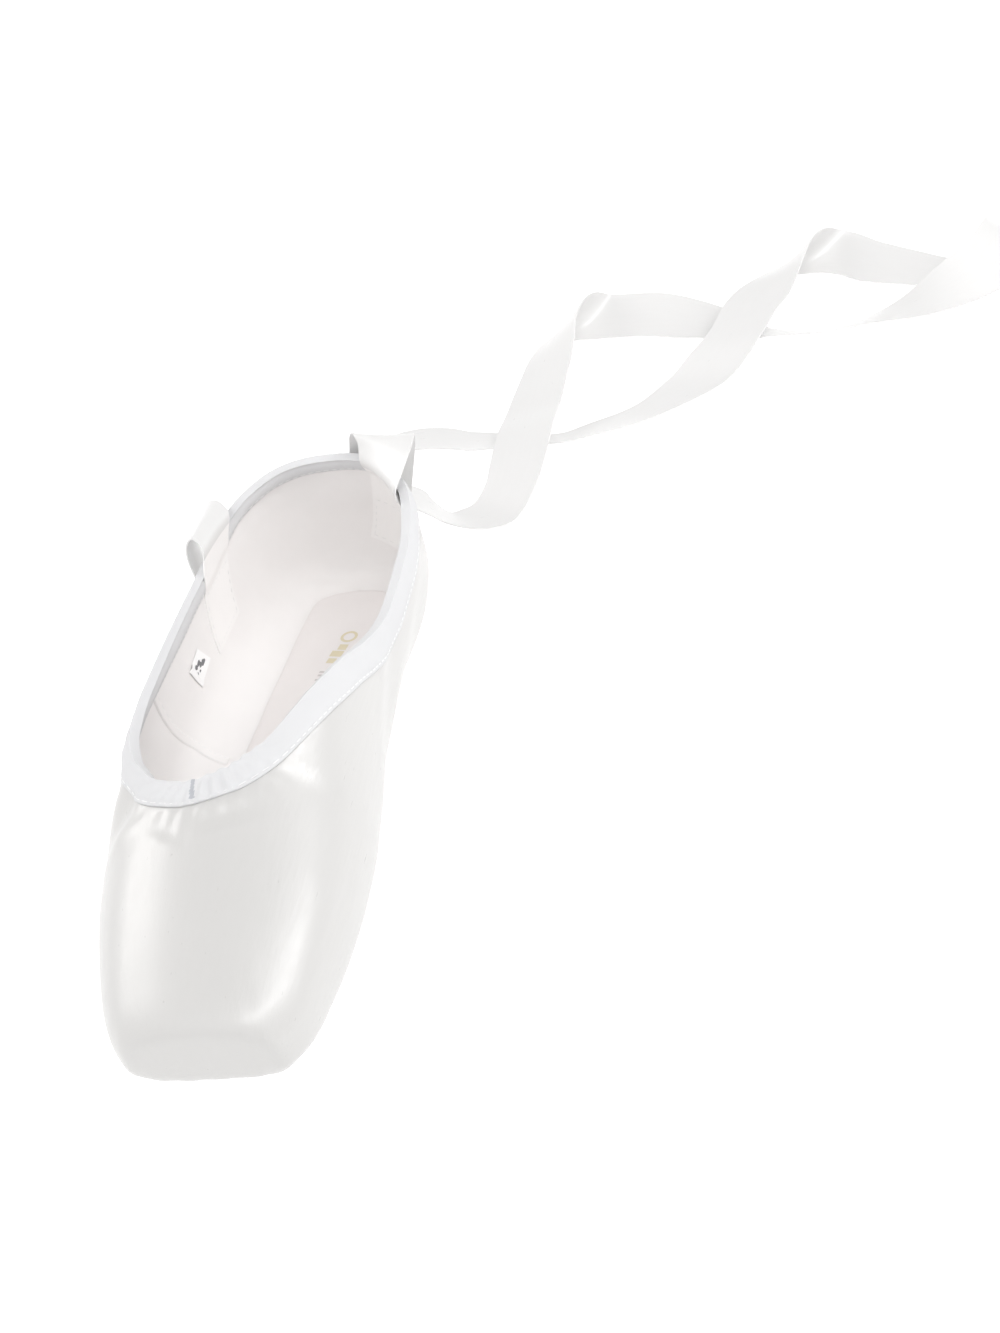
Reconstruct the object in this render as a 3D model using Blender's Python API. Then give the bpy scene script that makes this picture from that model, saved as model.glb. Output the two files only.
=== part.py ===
"""Satin pointe shoe: hollow upper, leather outsole, insole, collar binding and two ribbons.

Frame: metres, +Z up. The toe points along -Y, the heel along +Y, and the shoe stands on Z = 0.
Sizes below are in millimetres and turn into metres when a mesh is made. "Run" is the distance
along the shoe from the back of the heel.
"""
import math
from collections import namedtuple

import bmesh
import bpy
import numpy as np

MM = 0.001

# ---------------------------------------------------------------- driving sizes, mm
LENGTH = 236.0
QUARTER_WALL = 1.8
BOX_WALL = 2.8
BOX_START = 150.0
BOX_FULL = 185.0
GAP = 0.35
SOLE_THICKNESS = 2.3
SOLE_START = 5.0
SOLE_END = 209.0
SOLE_LAP = 6.0
INSOLE_START = 15.0
INSOLE_END = 212.0
INSOLE_THICKNESS = 2.0
INSOLE_EDGE = 0.9
INSOLE_CLEARANCE = 1.2
INSOLE_ROUNDING = 7.0
THROAT_RUN = 165.5

# The form: one row for each cross-section, the shape of the shoe's outside.
Section = namedtuple("Section", "run half_width bottom top widest low_power up_power")
FORM = (
    Section(0.0, 0.0, 21.0, 21.0, 21.0, 2.4, 2.4),
    Section(1.6, 9.8, 10.5, 34.0, 21.0, 2.4, 2.4),
    Section(5.0, 17.5, 5.6, 52.0, 22.0, 2.6, 2.5),
    Section(12.0, 25.0, 3.2, 65.0, 27.0, 3.0, 2.5),
    Section(26.0, 31.0, 2.5, 74.0, 34.0, 3.4, 2.5),
    Section(48.0, 33.5, 2.6, 76.0, 36.0, 3.4, 2.5),
    Section(75.0, 33.5, 4.0, 74.0, 35.0, 3.4, 2.5),
    Section(105.0, 34.0, 4.1, 71.0, 27.0, 3.3, 2.4),
    Section(135.0, 36.0, 2.7, 62.0, 18.0, 3.2, 2.3),
    Section(160.0, 37.5, 2.4, 52.5, 16.5, 3.2, 2.0),
    Section(182.0, 36.4, 2.7, 45.5, 16.5, 3.5, 2.05),
    Section(204.0, 33.0, 4.0, 39.0, 16.5, 3.7, 2.15),
    Section(222.0, 28.8, 5.6, 32.7, 17.0, 3.8, 2.2),
    Section(231.0, 25.0, 7.0, 29.3, 17.5, 3.8, 2.2),
    Section(235.0, 21.8, 9.0, 26.8, 17.5, 3.8, 2.2),
    Section(236.0, 18.4, 11.2, 24.3, 17.5, 3.7, 2.2),
)

# Height of the collar edge along the run, up to the throat, where it meets the crest of the vamp.
CollarPoint = namedtuple("CollarPoint", "run height")
COLLAR = (
    CollarPoint(0.0, 54.5),
    CollarPoint(20.0, 48.6),
    CollarPoint(50.0, 43.4),
    CollarPoint(85.0, 44.8),
    CollarPoint(120.0, 47.7),
    CollarPoint(145.0, 48.5),
    CollarPoint(160.0, 49.3),
)
# How much higher the edge stands on the +X side, where the opening closes in towards the throat.
COLLAR_LIFT = (
    CollarPoint(40.0, 0.0),
    CollarPoint(58.0, -2.0),
    CollarPoint(76.0, -3.6),
    CollarPoint(88.0, -2.7),
    CollarPoint(97.0, -1.0),
    CollarPoint(104.0, 0.6),
    CollarPoint(113.0, 2.9),
    CollarPoint(122.0, 4.0),
    CollarPoint(132.0, 4.6),
    CollarPoint(141.0, 4.3),
    CollarPoint(150.0, 3.0),
    CollarPoint(157.0, 2.3),
    CollarPoint(166.0, 0.9),
)
LIFT_BLEND = 12.0

# Half-width of the outsole, as a share of its length.
SolePoint = namedtuple("SolePoint", "share half_width")
OUTSOLE = (
    SolePoint(0.0, 5.0),
    SolePoint(0.03, 14.5),
    SolePoint(0.10, 20.5),
    SolePoint(0.20, 21.0),
    SolePoint(0.38, 17.0),
    SolePoint(0.52, 19.0),
    SolePoint(0.72, 27.0),
    SolePoint(0.86, 26.0),
    SolePoint(0.96, 20.0),
    SolePoint(1.0, 11.0),
)

# The ribbons: the place of the middle at each row, and the way that the width points from the
# left edge to the right one, as a heading in plan and a tilt up from level, in degrees. Here x
# and y are world directions. Each ribbon starts sewn inside a quarter, passes over the collar
# and lies on the floor.
RIBBON_WIDTH = 22.0
RIBBON_THICKNESS = 0.6
RIBBON_STEP = 5.0
Lay = namedtuple("Lay", "x y z heading tilt")
LEFT_RIBBON = (
    Lay(-29.4, 67, 20, -93, 0),
    Lay(-28.6, 73, 40, -95, 0),
    Lay(-28.4, 78, 50.3, -97, 2),
    Lay(-32.6, 83, 52.8, -99, 2),
    Lay(-37.6, 86.5, 49, -97, -8),
    Lay(-41.6, 89.5, 40.5, -88, -16),
    Lay(-44.8, 95, 27.5, -78, -25),
    Lay(-45.5, 103, 15.5, -62, -34),
    Lay(-46, 117, 8, -25, -30),
    Lay(-44, 132, 4, -8, -10),
    Lay(-34, 148, 3.5, -38, 0),
    Lay(-19, 160, 3.5, -65, 0),
    Lay(-3, 164, 4, -88, 5),
    Lay(9, 159, 6, -98, 20),
    Lay(18, 150, 6, -82, 22),
    Lay(26, 143, 5.5, -75, 22),
    Lay(34, 143, 4, -58, 9),
    Lay(41, 148, 3, -40, 2),
    Lay(46, 157, 7, -24, 8),
    Lay(47.8, 170, 10.6, -7, 11),
    Lay(48, 189, 11, -3, 12),
    Lay(48.3, 208, 9, -3, 13),
    Lay(49.5, 239, 9.3, -9, 23),
    Lay(51.2, 258.5, 10, -20, 38),
    Lay(54, 268, 8.9, 6, 45),
    Lay(60.2, 273, 6.2, 55, 27),
    Lay(66, 274, 5, 70, 19),
    Lay(85, 272, 4.2, 75, 15),
    Lay(98, 267, 3.4, 71, 9),
    Lay(112, 258.5, 3.2, 69, -4),
    Lay(121, 251, 3.6, 78, -10),
    Lay(130, 245.7, 5, 88, -24),
    Lay(142, 241.5, 5.6, 95, -27),
    Lay(154, 240.8, 5.8, 96, -27),
    Lay(171, 246.3, 5.6, 97, -18),
    Lay(184.5, 253.8, 5.6, 106, -2),
    Lay(202.8, 264.2, 8.3, 130, 27),
    Lay(210.2, 274.3, 8.6, 138, 36),
    Lay(216, 289, 8.6, 140, 30),
    Lay(220, 306, 3.4, 146, 12),
)
RIGHT_RIBBON = (
    Lay(14.9, 108.2, 15.4, -38, -20),
    Lay(18.4, 106.7, 26, -41, -17),
    Lay(20.5, 101.2, 39.5, -47, -12),
    Lay(20.8, 97.8, 50, -51, -8),
    Lay(22.8, 102.2, 57, -40, -6),
    Lay(23.2, 107.3, 60.3, -20, -3),
    Lay(21.5, 112.5, 58.5, -6, -2),
    Lay(18.3, 117, 49, 2, 0),
    Lay(9.5, 122, 24, 4, 0),
    Lay(4.5, 130, 10, 2, 0),
    Lay(-1, 146, 3, 0, 0),
    Lay(-7, 162, 1.5, -4, 0),
    Lay(-11.5, 176, 1.8, -18, 0),
    Lay(-11.5, 189, 3, -48, 6),
    Lay(-4.5, 197.5, 4.4, -74, 11),
    Lay(6, 199, 4.6, -79, 11),
    Lay(17, 197.5, 4.4, -79, 12),
    Lay(28, 195, 3.5, -76, 14),
    Lay(56, 189, 4.5, -73, 21),
    Lay(68, 191, 4.5, -72, 20),
    Lay(89, 201, 4.5, -60, 14),
    Lay(104, 215, 5, -36, 3),
    Lay(111.2, 225.3, 6.8, -23, -1),
    Lay(118.3, 238.8, 9.5, -22, 5),
    Lay(122.4, 255.5, 9.8, -25, 1),
    Lay(127, 269, 9, -28, 3),
    Lay(135.2, 287.5, 9.9, -38, 31),
    Lay(139.3, 296.5, 9, -8, 45),
    Lay(146, 301.5, 6.3, 46, 27),
    Lay(151.5, 302, 5, 62, 18),
    Lay(158, 299, 4.4, 67, 14),
    Lay(165.5, 293.4, 3.6, 68, 11),
    Lay(180, 286, 2.6, 72, 3),
    Lay(195, 280.5, 1.5, 76, -2),
    Lay(212, 278, 0.9, 84, 0),
    Lay(232, 280, 1, 98, 2),
    Lay(248, 288, 2, 118, 5),
    Lay(258, 302, 2, 142, 5),
    Lay(262, 320, 1.2, 165, 1),
    Lay(262, 332, 0.8, 180, 0),
)


# ---------------------------------------------------------------- smooth tables
def slopes(xs, ys):
    """Slopes of a smooth curve through the points that never overshoots them."""
    steps = np.diff(ys) / np.diff(xs)
    result = np.zeros(len(xs))
    result[0] = steps[0]
    result[-1] = steps[-1]
    for i in range(1, len(xs) - 1):
        if steps[i - 1] * steps[i] > 0:
            result[i] = 2 * steps[i - 1] * steps[i] / (steps[i - 1] + steps[i])
    return result


def curve(xs, ys, at):
    """Value of the smooth curve at each place in `at`."""
    xs = np.asarray(xs, float)
    ys = np.asarray(ys, float)
    at = np.clip(at, xs[0], xs[-1])
    tangents = slopes(xs, ys)
    i = np.clip(np.searchsorted(xs, at, side="right") - 1, 0, len(xs) - 2)
    width = xs[i + 1] - xs[i]
    t = (at - xs[i]) / width
    start = (1 + 2 * t) * (1 - t) ** 2 * ys[i] + t * (1 - t) ** 2 * width * tangents[i]
    end = t * t * (3 - 2 * t) * ys[i + 1] + t * t * (t - 1) * width * tangents[i + 1]
    return start + end


def turn(run):
    """The run as an angle from 0 at the heel to pi at the toe, which rounds both ends."""
    return np.arccos(np.clip(1 - 2 * np.asarray(run, float) / LENGTH, -1, 1))


def column(rows, name):
    return [getattr(row, name) for row in rows]


FINE_STEPS = 4000
FINE_TURNS = np.linspace(0, math.pi, FINE_STEPS)
FINE_FORM = {
    name: curve(turn(column(FORM, "run")), column(FORM, name), FINE_TURNS)
    for name in Section._fields
}


def form_value(name, run):
    """One column of the form's table at each run."""
    return np.interp(turn(run), FINE_TURNS, FINE_FORM[name])


def ease(value):
    value = np.clip(value, 0, 1)
    return value * value * (3 - 2 * value)


# ---------------------------------------------------------------- the form
HEEL_SWING = 2.8
TOE_SWING = 8.4
MIDDLE_RUN = 120.0
SWING_SHIFT = -1.1
CREST_SHIFT = -3.2


def centre(run):
    """Sideways place of the shoe's middle line."""
    heel = HEEL_SWING * np.clip((150.0 - run) / 150.0, 0, 1) ** 2
    toe = TOE_SWING * np.clip((run - MIDDLE_RUN) / (LENGTH - MIDDLE_RUN), 0, 1) ** 2
    return heel + toe + SWING_SHIFT


def crest(run, height):
    """Sideways lean of the vamp towards the little-toe side, most at the throat."""
    along = np.clip((run - 110.0) / 50.0, 0, 1) * np.clip((LENGTH - run) / 40.0, 0, 1)
    up = np.clip((height - 17.0) / 35.0, 0, 1.3) ** 1.5
    return CREST_SHIFT * along * up


def outside(x, run, z):
    """True where a point lies outside the form."""
    widest = form_value("widest", run)
    above = z >= widest
    reach = np.where(above, form_value("top", run) - widest, widest - form_value("bottom", run))
    power = np.where(above, form_value("up_power", run), form_value("low_power", run))
    side = np.abs(x - centre(run) - crest(run, z)) / np.maximum(form_value("half_width", run), 1e-6)
    rise = np.abs(z - widest) / np.maximum(reach, 1e-6)
    beyond = (run < 0) | (run > LENGTH)
    return beyond | (np.minimum(side, 9) ** power + np.minimum(rise, 9) ** power > 1)


def underside(x, run):
    """Height of the form's lower surface."""
    widest = form_value("widest", run)
    side = np.abs(x - centre(run)) / form_value("half_width", run)
    power = form_value("low_power", run)
    drop = np.clip(1 - np.clip(side, 0, 1) ** power, 0, 1) ** (1 / power)
    return widest - (widest - form_value("bottom", run)) * drop


def sole_half(run):
    """Half-width of the outsole, zero past its ends."""
    share = (run - SOLE_START) / (SOLE_END - SOLE_START)
    inside = (share >= 0) & (share <= 1)
    half = curve(column(OUTSOLE, "share"), column(OUTSOLE, "half_width"), share)
    return np.where(inside, half, 0.0)


def open_below(x, run, z):
    """True over the opening that the outsole closes."""
    half = np.minimum(sole_half(run - SOLE_LAP), sole_half(run + SOLE_LAP)) - SOLE_LAP
    return (np.abs(x - centre(run)) < half) & (z < form_value("widest", run))


def collar_height(x, run):
    """Height of the collar edge, rising to the crest at the throat."""
    edge = COLLAR + (CollarPoint(THROAT_RUN, float(form_value("top", THROAT_RUN))),)
    height = curve(column(edge, "run"), column(edge, "height"), run)
    lift = curve(column(COLLAR_LIFT, "run"), column(COLLAR_LIFT, "height"), run)
    height = height + lift * ease((x - centre(run)) / LIFT_BLEND + 0.6)
    return np.where(run > THROAT_RUN, np.inf, height)


# ---------------------------------------------------------------- columns over the form
HEEL_AXIS = 30.0
TOE_AXIS = 150.0
SPINE_HEIGHT = 21.0
SIDE_COLUMNS = 13
HEEL_COLUMNS = 9
TOE_HEADINGS = (0.0, 4.5, 9.0, 12.5, 15.0, 18.5, 24.0, 31.0, 40.0, 51.0, 63.0, 76.0)
LOOK_STEPS = 160
HALVINGS = 30
BEND_WEIGHT = 22.0


def headings():
    """Axis run and heading of each column, once round from the toe over the +X side."""
    toe = [(TOE_AXIS, heading) for heading in TOE_HEADINGS]
    side = [(TOE_AXIS + (HEEL_AXIS - TOE_AXIS) * i / SIDE_COLUMNS, 90.0) for i in range(SIDE_COLUMNS)]
    heel = [(HEEL_AXIS, 90.0 + 90.0 * i / HEEL_COLUMNS) for i in range(HEEL_COLUMNS + 1)]
    right = toe + side + heel
    left = [(run, -heading) for run, heading in reversed(right[1:-1])]
    return right + left


def reach(axis, heading, pitch):
    """Points where rays from the spine leave the form."""
    across = np.sin(np.radians(heading)) * np.cos(pitch)
    along = np.cos(np.radians(heading)) * np.cos(pitch)
    near = np.zeros_like(pitch)
    far = np.full_like(pitch, 140.0)
    for _ in range(HALVINGS):
        middle = (near + far) / 2
        x = centre(axis) + across * middle
        out = outside(x, axis + along * middle, SPINE_HEIGHT + np.sin(pitch) * middle)
        far = np.where(out, middle, far)
        near = np.where(out, near, middle)
    return np.stack([centre(axis) + across * near, axis + along * near,
                     SPINE_HEIGHT + np.sin(pitch) * near], -1)


def first_true(axis, heading, test, sign):
    """Pitch at which a column first meets its edge, looking up (+1) or down (-1)."""
    pitches = sign * np.linspace(0, math.pi / 2, LOOK_STEPS)
    hits = test(reach(axis, heading, pitches))
    k = int(np.argmax(hits))
    low = pitches[k - 1]
    high = pitches[k]
    for _ in range(HALVINGS):
        middle = (low + high) / 2
        if test(reach(axis, heading, np.array([middle])))[0]:
            high = middle
        else:
            low = middle
    return low


def at_collar(points):
    return points[:, 2] >= collar_height(points[:, 0], points[:, 1])


def at_sole(points):
    return open_below(points[:, 0], points[:, 1], points[:, 2])


def spaced(points, rows):
    """The same line with few points where it is straight and more where it bends."""
    steps = np.diff(points, axis=0)
    lengths = np.linalg.norm(steps, axis=1)
    ways = steps / lengths[:, None]
    bends = np.linalg.norm(np.diff(ways, axis=0), axis=1)
    effort = lengths + BEND_WEIGHT * np.concatenate([[0], bends])
    travel = np.concatenate([[0], np.cumsum(effort)])
    at = np.linspace(0, travel[-1], rows)
    return np.stack([np.interp(at, travel, points[:, k]) for k in range(3)], -1)


def form_lines():
    """Fine lines on the outer surface, each from the sole opening up to the collar."""
    lines = []
    for axis, heading in headings():
        low = first_true(axis, heading, at_sole, -1)
        high = first_true(axis, heading, at_collar, 1)
        lines.append(reach(axis, heading, np.linspace(low, high, LOOK_STEPS)))
    return lines


def to_world(points):
    """Run, side and height in millimetres to world metres."""
    points = np.asarray(points, float)
    return np.stack([points[..., 0], LENGTH / 2 - points[..., 1], points[..., 2]], -1) * MM


def grid_normals(world):
    """Outward normals of a grid that closes round its first index."""
    round_step = np.roll(world, -1, axis=0) - np.roll(world, 1, axis=0)
    up_step = np.gradient(world, axis=1)
    normals = np.cross(round_step, up_step)
    return normals / np.linalg.norm(normals, axis=-1, keepdims=True)


def wall(run):
    return QUARTER_WALL + (BOX_WALL - QUARTER_WALL) * ease((run - BOX_START) / (BOX_FULL - BOX_START))


# ---------------------------------------------------------------- meshes
def make_object(name, vertices, faces, finish):
    """A closed mesh object with its faces pointing out."""
    mesh = bpy.data.meshes.new(name)
    mesh.from_pydata([tuple(v) for v in vertices], [], faces)
    builder = bmesh.new()
    builder.from_mesh(mesh)
    bmesh.ops.recalc_face_normals(builder, faces=builder.faces)
    builder.to_mesh(mesh)
    builder.free()
    mesh.shade_smooth()
    mesh.set_sharp_from_angle(angle=math.radians(40))
    mesh.materials.append(finish)
    piece = bpy.data.objects.new(name, mesh)
    bpy.data.collections[SHOE].objects.link(piece)
    return piece


def ring_body(name, rings, finish):
    """A body from closed rings of points set one after another round a loop."""
    rings = np.asarray(rings)
    count, around = rings.shape[:2]
    faces = []
    for i in range(count):
        j = (i + 1) % count
        for k in range(around):
            m = (k + 1) % around
            faces.append((i * around + k, j * around + k, j * around + m, i * around + m))
    return make_object(name, rings.reshape(-1, 3), faces, finish)


def slab(name, top, bottom, finish):
    """A body between two grids of the same size that share their outline."""
    rows, across = top.shape[:2]
    vertices = np.concatenate([top.reshape(-1, 3), bottom.reshape(-1, 3)])
    under = rows * across
    faces = []
    for i in range(rows - 1):
        for k in range(across - 1):
            a = i * across + k
            quad = (a, a + 1, a + across + 1, a + across)
            faces.append(quad)
            faces.append(tuple(under + v for v in reversed(quad)))
    edge = [k for k in range(across)]
    edge += [i * across + across - 1 for i in range(1, rows)]
    edge += [(rows - 1) * across + k for k in range(across - 2, -1, -1)]
    edge += [i * across for i in range(rows - 2, 0, -1)]
    for a, b in zip(edge, edge[1:] + edge[:1]):
        faces.append((b, a, under + a, under + b))
    return make_object(name, vertices, faces, finish)


def finish(name, colour, roughness):
    """A plain Principled material."""
    material = bpy.data.materials.new(name)
    material.use_nodes = True
    shader = material.node_tree.nodes["Principled BSDF"]
    shader.inputs["Base Color"].default_value = (*colour, 1.0)
    shader.inputs["Roughness"].default_value = roughness
    shader.inputs["Metallic"].default_value = 0.0
    return material


# ---------------------------------------------------------------- pieces
UPPER_ROWS = 16
COLLAR_ROWS = 60
BINDING_LEG_ROWS = 3
BINDING_THICKNESS = 0.8
BINDING_GAP = 0.45
BINDING_OUTSIDE = 6.5
BINDING_INSIDE = 6.5
SOLE_ROWS = 30
SOLE_ACROSS = 9


def make_upper(lines):
    """The hollow upper, open at the collar and over the sole."""
    grid = np.array([spaced(line, UPPER_ROWS) for line in lines])
    outer = to_world(grid)
    depth = wall(grid[..., 1])[..., None] * MM
    inner = outer - grid_normals(outer) * depth
    rings = np.concatenate([outer, inner[:, ::-1]], axis=1)
    return ring_body("upper", rings, finish("white satin", (0.86, 0.85, 0.84), 0.35))


def make_binding(lines):
    """Cotton casing folded over the collar edge, with a leg on each side of the wall."""
    grid = np.array([spaced(line, COLLAR_ROWS) for line in lines])
    outer = to_world(grid)
    normals = grid_normals(outer)
    rings = []
    for line, way, lining in zip(outer, normals, wall(grid[..., 1])):
        rings.append(binding_ring(line[::-1], way[::-1], lining[-1] * MM))
    return ring_body("collar_binding", rings, finish("white cotton", (0.84, 0.85, 0.88), 0.85))


def binding_ring(line, way, depth):
    """Cross-section of the binding at one column, whose line runs down from the collar edge."""
    travel = np.concatenate([[0], np.cumsum(np.linalg.norm(np.diff(line, axis=0), axis=1))])
    up = line[0] - line[1]
    up = up / np.linalg.norm(up)
    near = BINDING_GAP * MM
    far = (BINDING_GAP + BINDING_THICKNESS) * MM

    def leg(drops, offset):
        drops = np.asarray(drops) * MM
        points = np.stack([np.interp(drops, travel, line[:, k]) for k in range(3)], -1)
        ways = np.stack([np.interp(drops, travel, way[:, k]) for k in range(3)], -1)
        return points + ways / np.linalg.norm(ways, axis=1)[:, None] * offset

    outside_drops = np.linspace(BINDING_OUTSIDE, 0, BINDING_LEG_ROWS)
    inside_drops = np.linspace(0, BINDING_INSIDE, BINDING_LEG_ROWS)
    crown = line[0] - way[0] * depth / 2 + up * far
    inner_crown = line[0] - way[0] * depth / 2 + up * near
    skin = [leg(outside_drops, far), crown[None], leg(inside_drops, -depth - far)]
    core = [leg(inside_drops[::-1], -depth - near), (inner_crown - way[0] * (depth / 2 + near))[None],
            (inner_crown + way[0] * (depth / 2 + near))[None], leg(outside_drops[::-1], near)]
    return np.concatenate(skin + core)


def make_outsole():
    """Leather sole under the upper, flat on the floor at heel and ball."""
    share = (1 - np.cos(np.linspace(0, math.pi, SOLE_ROWS))) / 2
    run = SOLE_START + (SOLE_END - SOLE_START) * share
    side = np.linspace(-1, 1, SOLE_ACROSS)
    x = centre(run)[:, None] + sole_half(run)[:, None] * side
    runs = np.repeat(run[:, None], SOLE_ACROSS, 1)
    top = underside(x, runs) - GAP
    bottom = np.maximum(top - SOLE_THICKNESS, 0.0)
    return slab("outsole", to_world(np.stack([x, runs, top], -1)),
                to_world(np.stack([x, runs, bottom], -1)),
                finish("sole leather", (0.62, 0.48, 0.36), 0.6))


def inner_floor(x, run):
    """Height of the wall's inner surface underneath."""
    half = form_value("half_width", run)
    wider = centre(run) + (x - centre(run)) * half / (half - wall(run))
    return underside(wider, run) + wall(run)


def insole_half(run):
    """Half-width at which the insole's edge meets the wall."""
    level = inner_floor(centre(run), run) + INSOLE_THICKNESS - INSOLE_EDGE
    near = np.zeros_like(run)
    far = form_value("half_width", run) - wall(run)
    for _ in range(HALVINGS):
        middle = (near + far) / 2
        high = inner_floor(centre(run) + middle, run) > level
        far = np.where(high, middle, far)
        near = np.where(high, near, middle)
    from_end = np.minimum(run - INSOLE_START, INSOLE_END - run)
    short = 1 - np.clip(from_end / INSOLE_ROUNDING, 0, 1)
    return (near - INSOLE_CLEARANCE) * np.maximum(np.sqrt(1 - short ** 2), 0.25)


def make_insole():
    """Inner sole board, flat across and resting on the wall's inner surface."""
    share = (1 - np.cos(np.linspace(0, math.pi, SOLE_ROWS))) / 2
    run = INSOLE_START + (INSOLE_END - INSOLE_START) * share
    side = np.linspace(-1, 1, SOLE_ACROSS)
    x = centre(run)[:, None] + insole_half(run)[:, None] * side
    runs = np.repeat(run[:, None], SOLE_ACROSS, 1)
    floor = inner_floor(x, runs) + GAP + INSOLE_CLEARANCE / 4
    level = inner_floor(centre(run), run) + GAP + INSOLE_THICKNESS
    top = np.repeat(level[:, None], SOLE_ACROSS, 1)
    return slab("insole", to_world(np.stack([x, runs, top], -1)),
                to_world(np.stack([x, runs, floor], -1)),
                finish("sock lining", (0.80, 0.74, 0.72), 0.7))


def through(points, at):
    """Smooth curve through the rows: row 0 at 0, row 1 at 1, and so on."""
    points = np.asarray(points, float)
    padded = np.concatenate([[2 * points[0] - points[1]], points, [2 * points[-1] - points[-2]]])
    i = np.clip(np.floor(at).astype(int), 0, len(points) - 2)
    t = (at - i)[:, None]
    before, start, end, after = (padded[i + k] for k in range(4))
    return (start + t * (end - before) / 2 + t * t * (before - 2.5 * start + 2 * end - after / 2)
            + t ** 3 * (1.5 * (start - end) + (after - before) / 2))


def ribbon_frames(lays):
    """Middles of the ribbon's sections, their width directions and their normals."""
    heading = np.radians(column(lays, "heading"))
    tilt = np.radians(column(lays, "tilt"))
    widths = np.stack([np.cos(heading) * np.cos(tilt), np.sin(heading) * np.cos(tilt), np.sin(tilt)], -1)
    middles = np.stack([column(lays, "x"), column(lays, "y"), column(lays, "z")], -1)
    fine = np.linspace(0, len(lays) - 1, 40 * len(lays))
    line = through(middles, fine)
    travel = np.concatenate([[0], np.cumsum(np.linalg.norm(np.diff(line, axis=0), axis=1))])
    at = np.interp(np.linspace(0, travel[-1], round(travel[-1] / RIBBON_STEP) + 1), travel, fine)
    line = through(middles, at)
    across = through(widths, at)
    way = np.gradient(line, axis=0)
    way = way / np.linalg.norm(way, axis=1)[:, None]
    across = across / np.linalg.norm(across, axis=1)[:, None]
    normals = np.cross(across, way)
    return line, across, normals / np.linalg.norm(normals, axis=1)[:, None]


def make_ribbon(name, lays, satin):
    """A thin strip along the ribbon's rows, with square ends."""
    line, across, normals = ribbon_frames(lays)
    side = across * RIBBON_WIDTH / 2
    lift = normals * RIBBON_THICKNESS / 2
    rings = np.stack([line - side - lift, line + side - lift, line + side + lift, line - side + lift], 1)
    count = len(rings)
    faces = [(0, 1, 2, 3), tuple(4 * (count - 1) + k for k in (3, 2, 1, 0))]
    # The two broad faces share their diagonals, so that a twist never brings them together.
    for i in range(0, 4 * (count - 1), 4):
        faces += [(i, i + 1, i + 5), (i, i + 5, i + 4), (i + 3, i + 6, i + 2), (i + 3, i + 7, i + 6)]
        faces += [(i + 1, i + 2, i + 6, i + 5), (i + 3, i, i + 4, i + 7)]
    return make_object(name, rings.reshape(-1, 3) * MM, faces, satin)


# ---------------------------------------------------------------- build
SHOE = "pointe_shoe"


def clear_scene():
    for piece in list(bpy.data.objects):
        bpy.data.objects.remove(piece, do_unlink=True)


def build():
    clear_scene()
    bpy.context.scene.collection.children.link(bpy.data.collections.new(SHOE))
    lines = form_lines()
    make_upper(lines)
    make_binding(lines)
    make_outsole()
    make_insole()
    satin = finish("ribbon satin", (0.88, 0.87, 0.86), 0.4)
    make_ribbon("ribbon_left", LEFT_RIBBON, satin)
    make_ribbon("ribbon_right", RIGHT_RIBBON, satin)


build()
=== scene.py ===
"""Looks of the white satin pointe shoe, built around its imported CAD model."""
import math
from collections import namedtuple

import bmesh
import bpy
import numpy as np
from mathutils import Matrix, Vector


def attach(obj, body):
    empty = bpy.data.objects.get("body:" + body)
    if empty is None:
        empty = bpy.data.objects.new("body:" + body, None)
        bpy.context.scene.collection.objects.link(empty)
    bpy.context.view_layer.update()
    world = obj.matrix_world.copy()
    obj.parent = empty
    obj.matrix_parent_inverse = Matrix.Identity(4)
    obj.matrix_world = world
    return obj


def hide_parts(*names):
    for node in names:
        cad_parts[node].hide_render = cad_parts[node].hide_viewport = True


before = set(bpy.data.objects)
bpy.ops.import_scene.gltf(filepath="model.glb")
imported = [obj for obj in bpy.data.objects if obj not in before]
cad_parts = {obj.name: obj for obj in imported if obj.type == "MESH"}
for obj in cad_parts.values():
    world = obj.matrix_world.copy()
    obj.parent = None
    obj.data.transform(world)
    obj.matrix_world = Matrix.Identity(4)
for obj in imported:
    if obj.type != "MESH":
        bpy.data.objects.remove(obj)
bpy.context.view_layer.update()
MM = 0.001

# ---------------- camera
CAMERA_AZIMUTH = math.radians(17.41)
CAMERA_ELEVATION = math.radians(34.81)
CAMERA_ROLL = math.radians(15.45)
CAMERA_PLACE = Vector((0.23854, -0.52380, 0.42739))
CAMERA_LENS = 64.76


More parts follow.
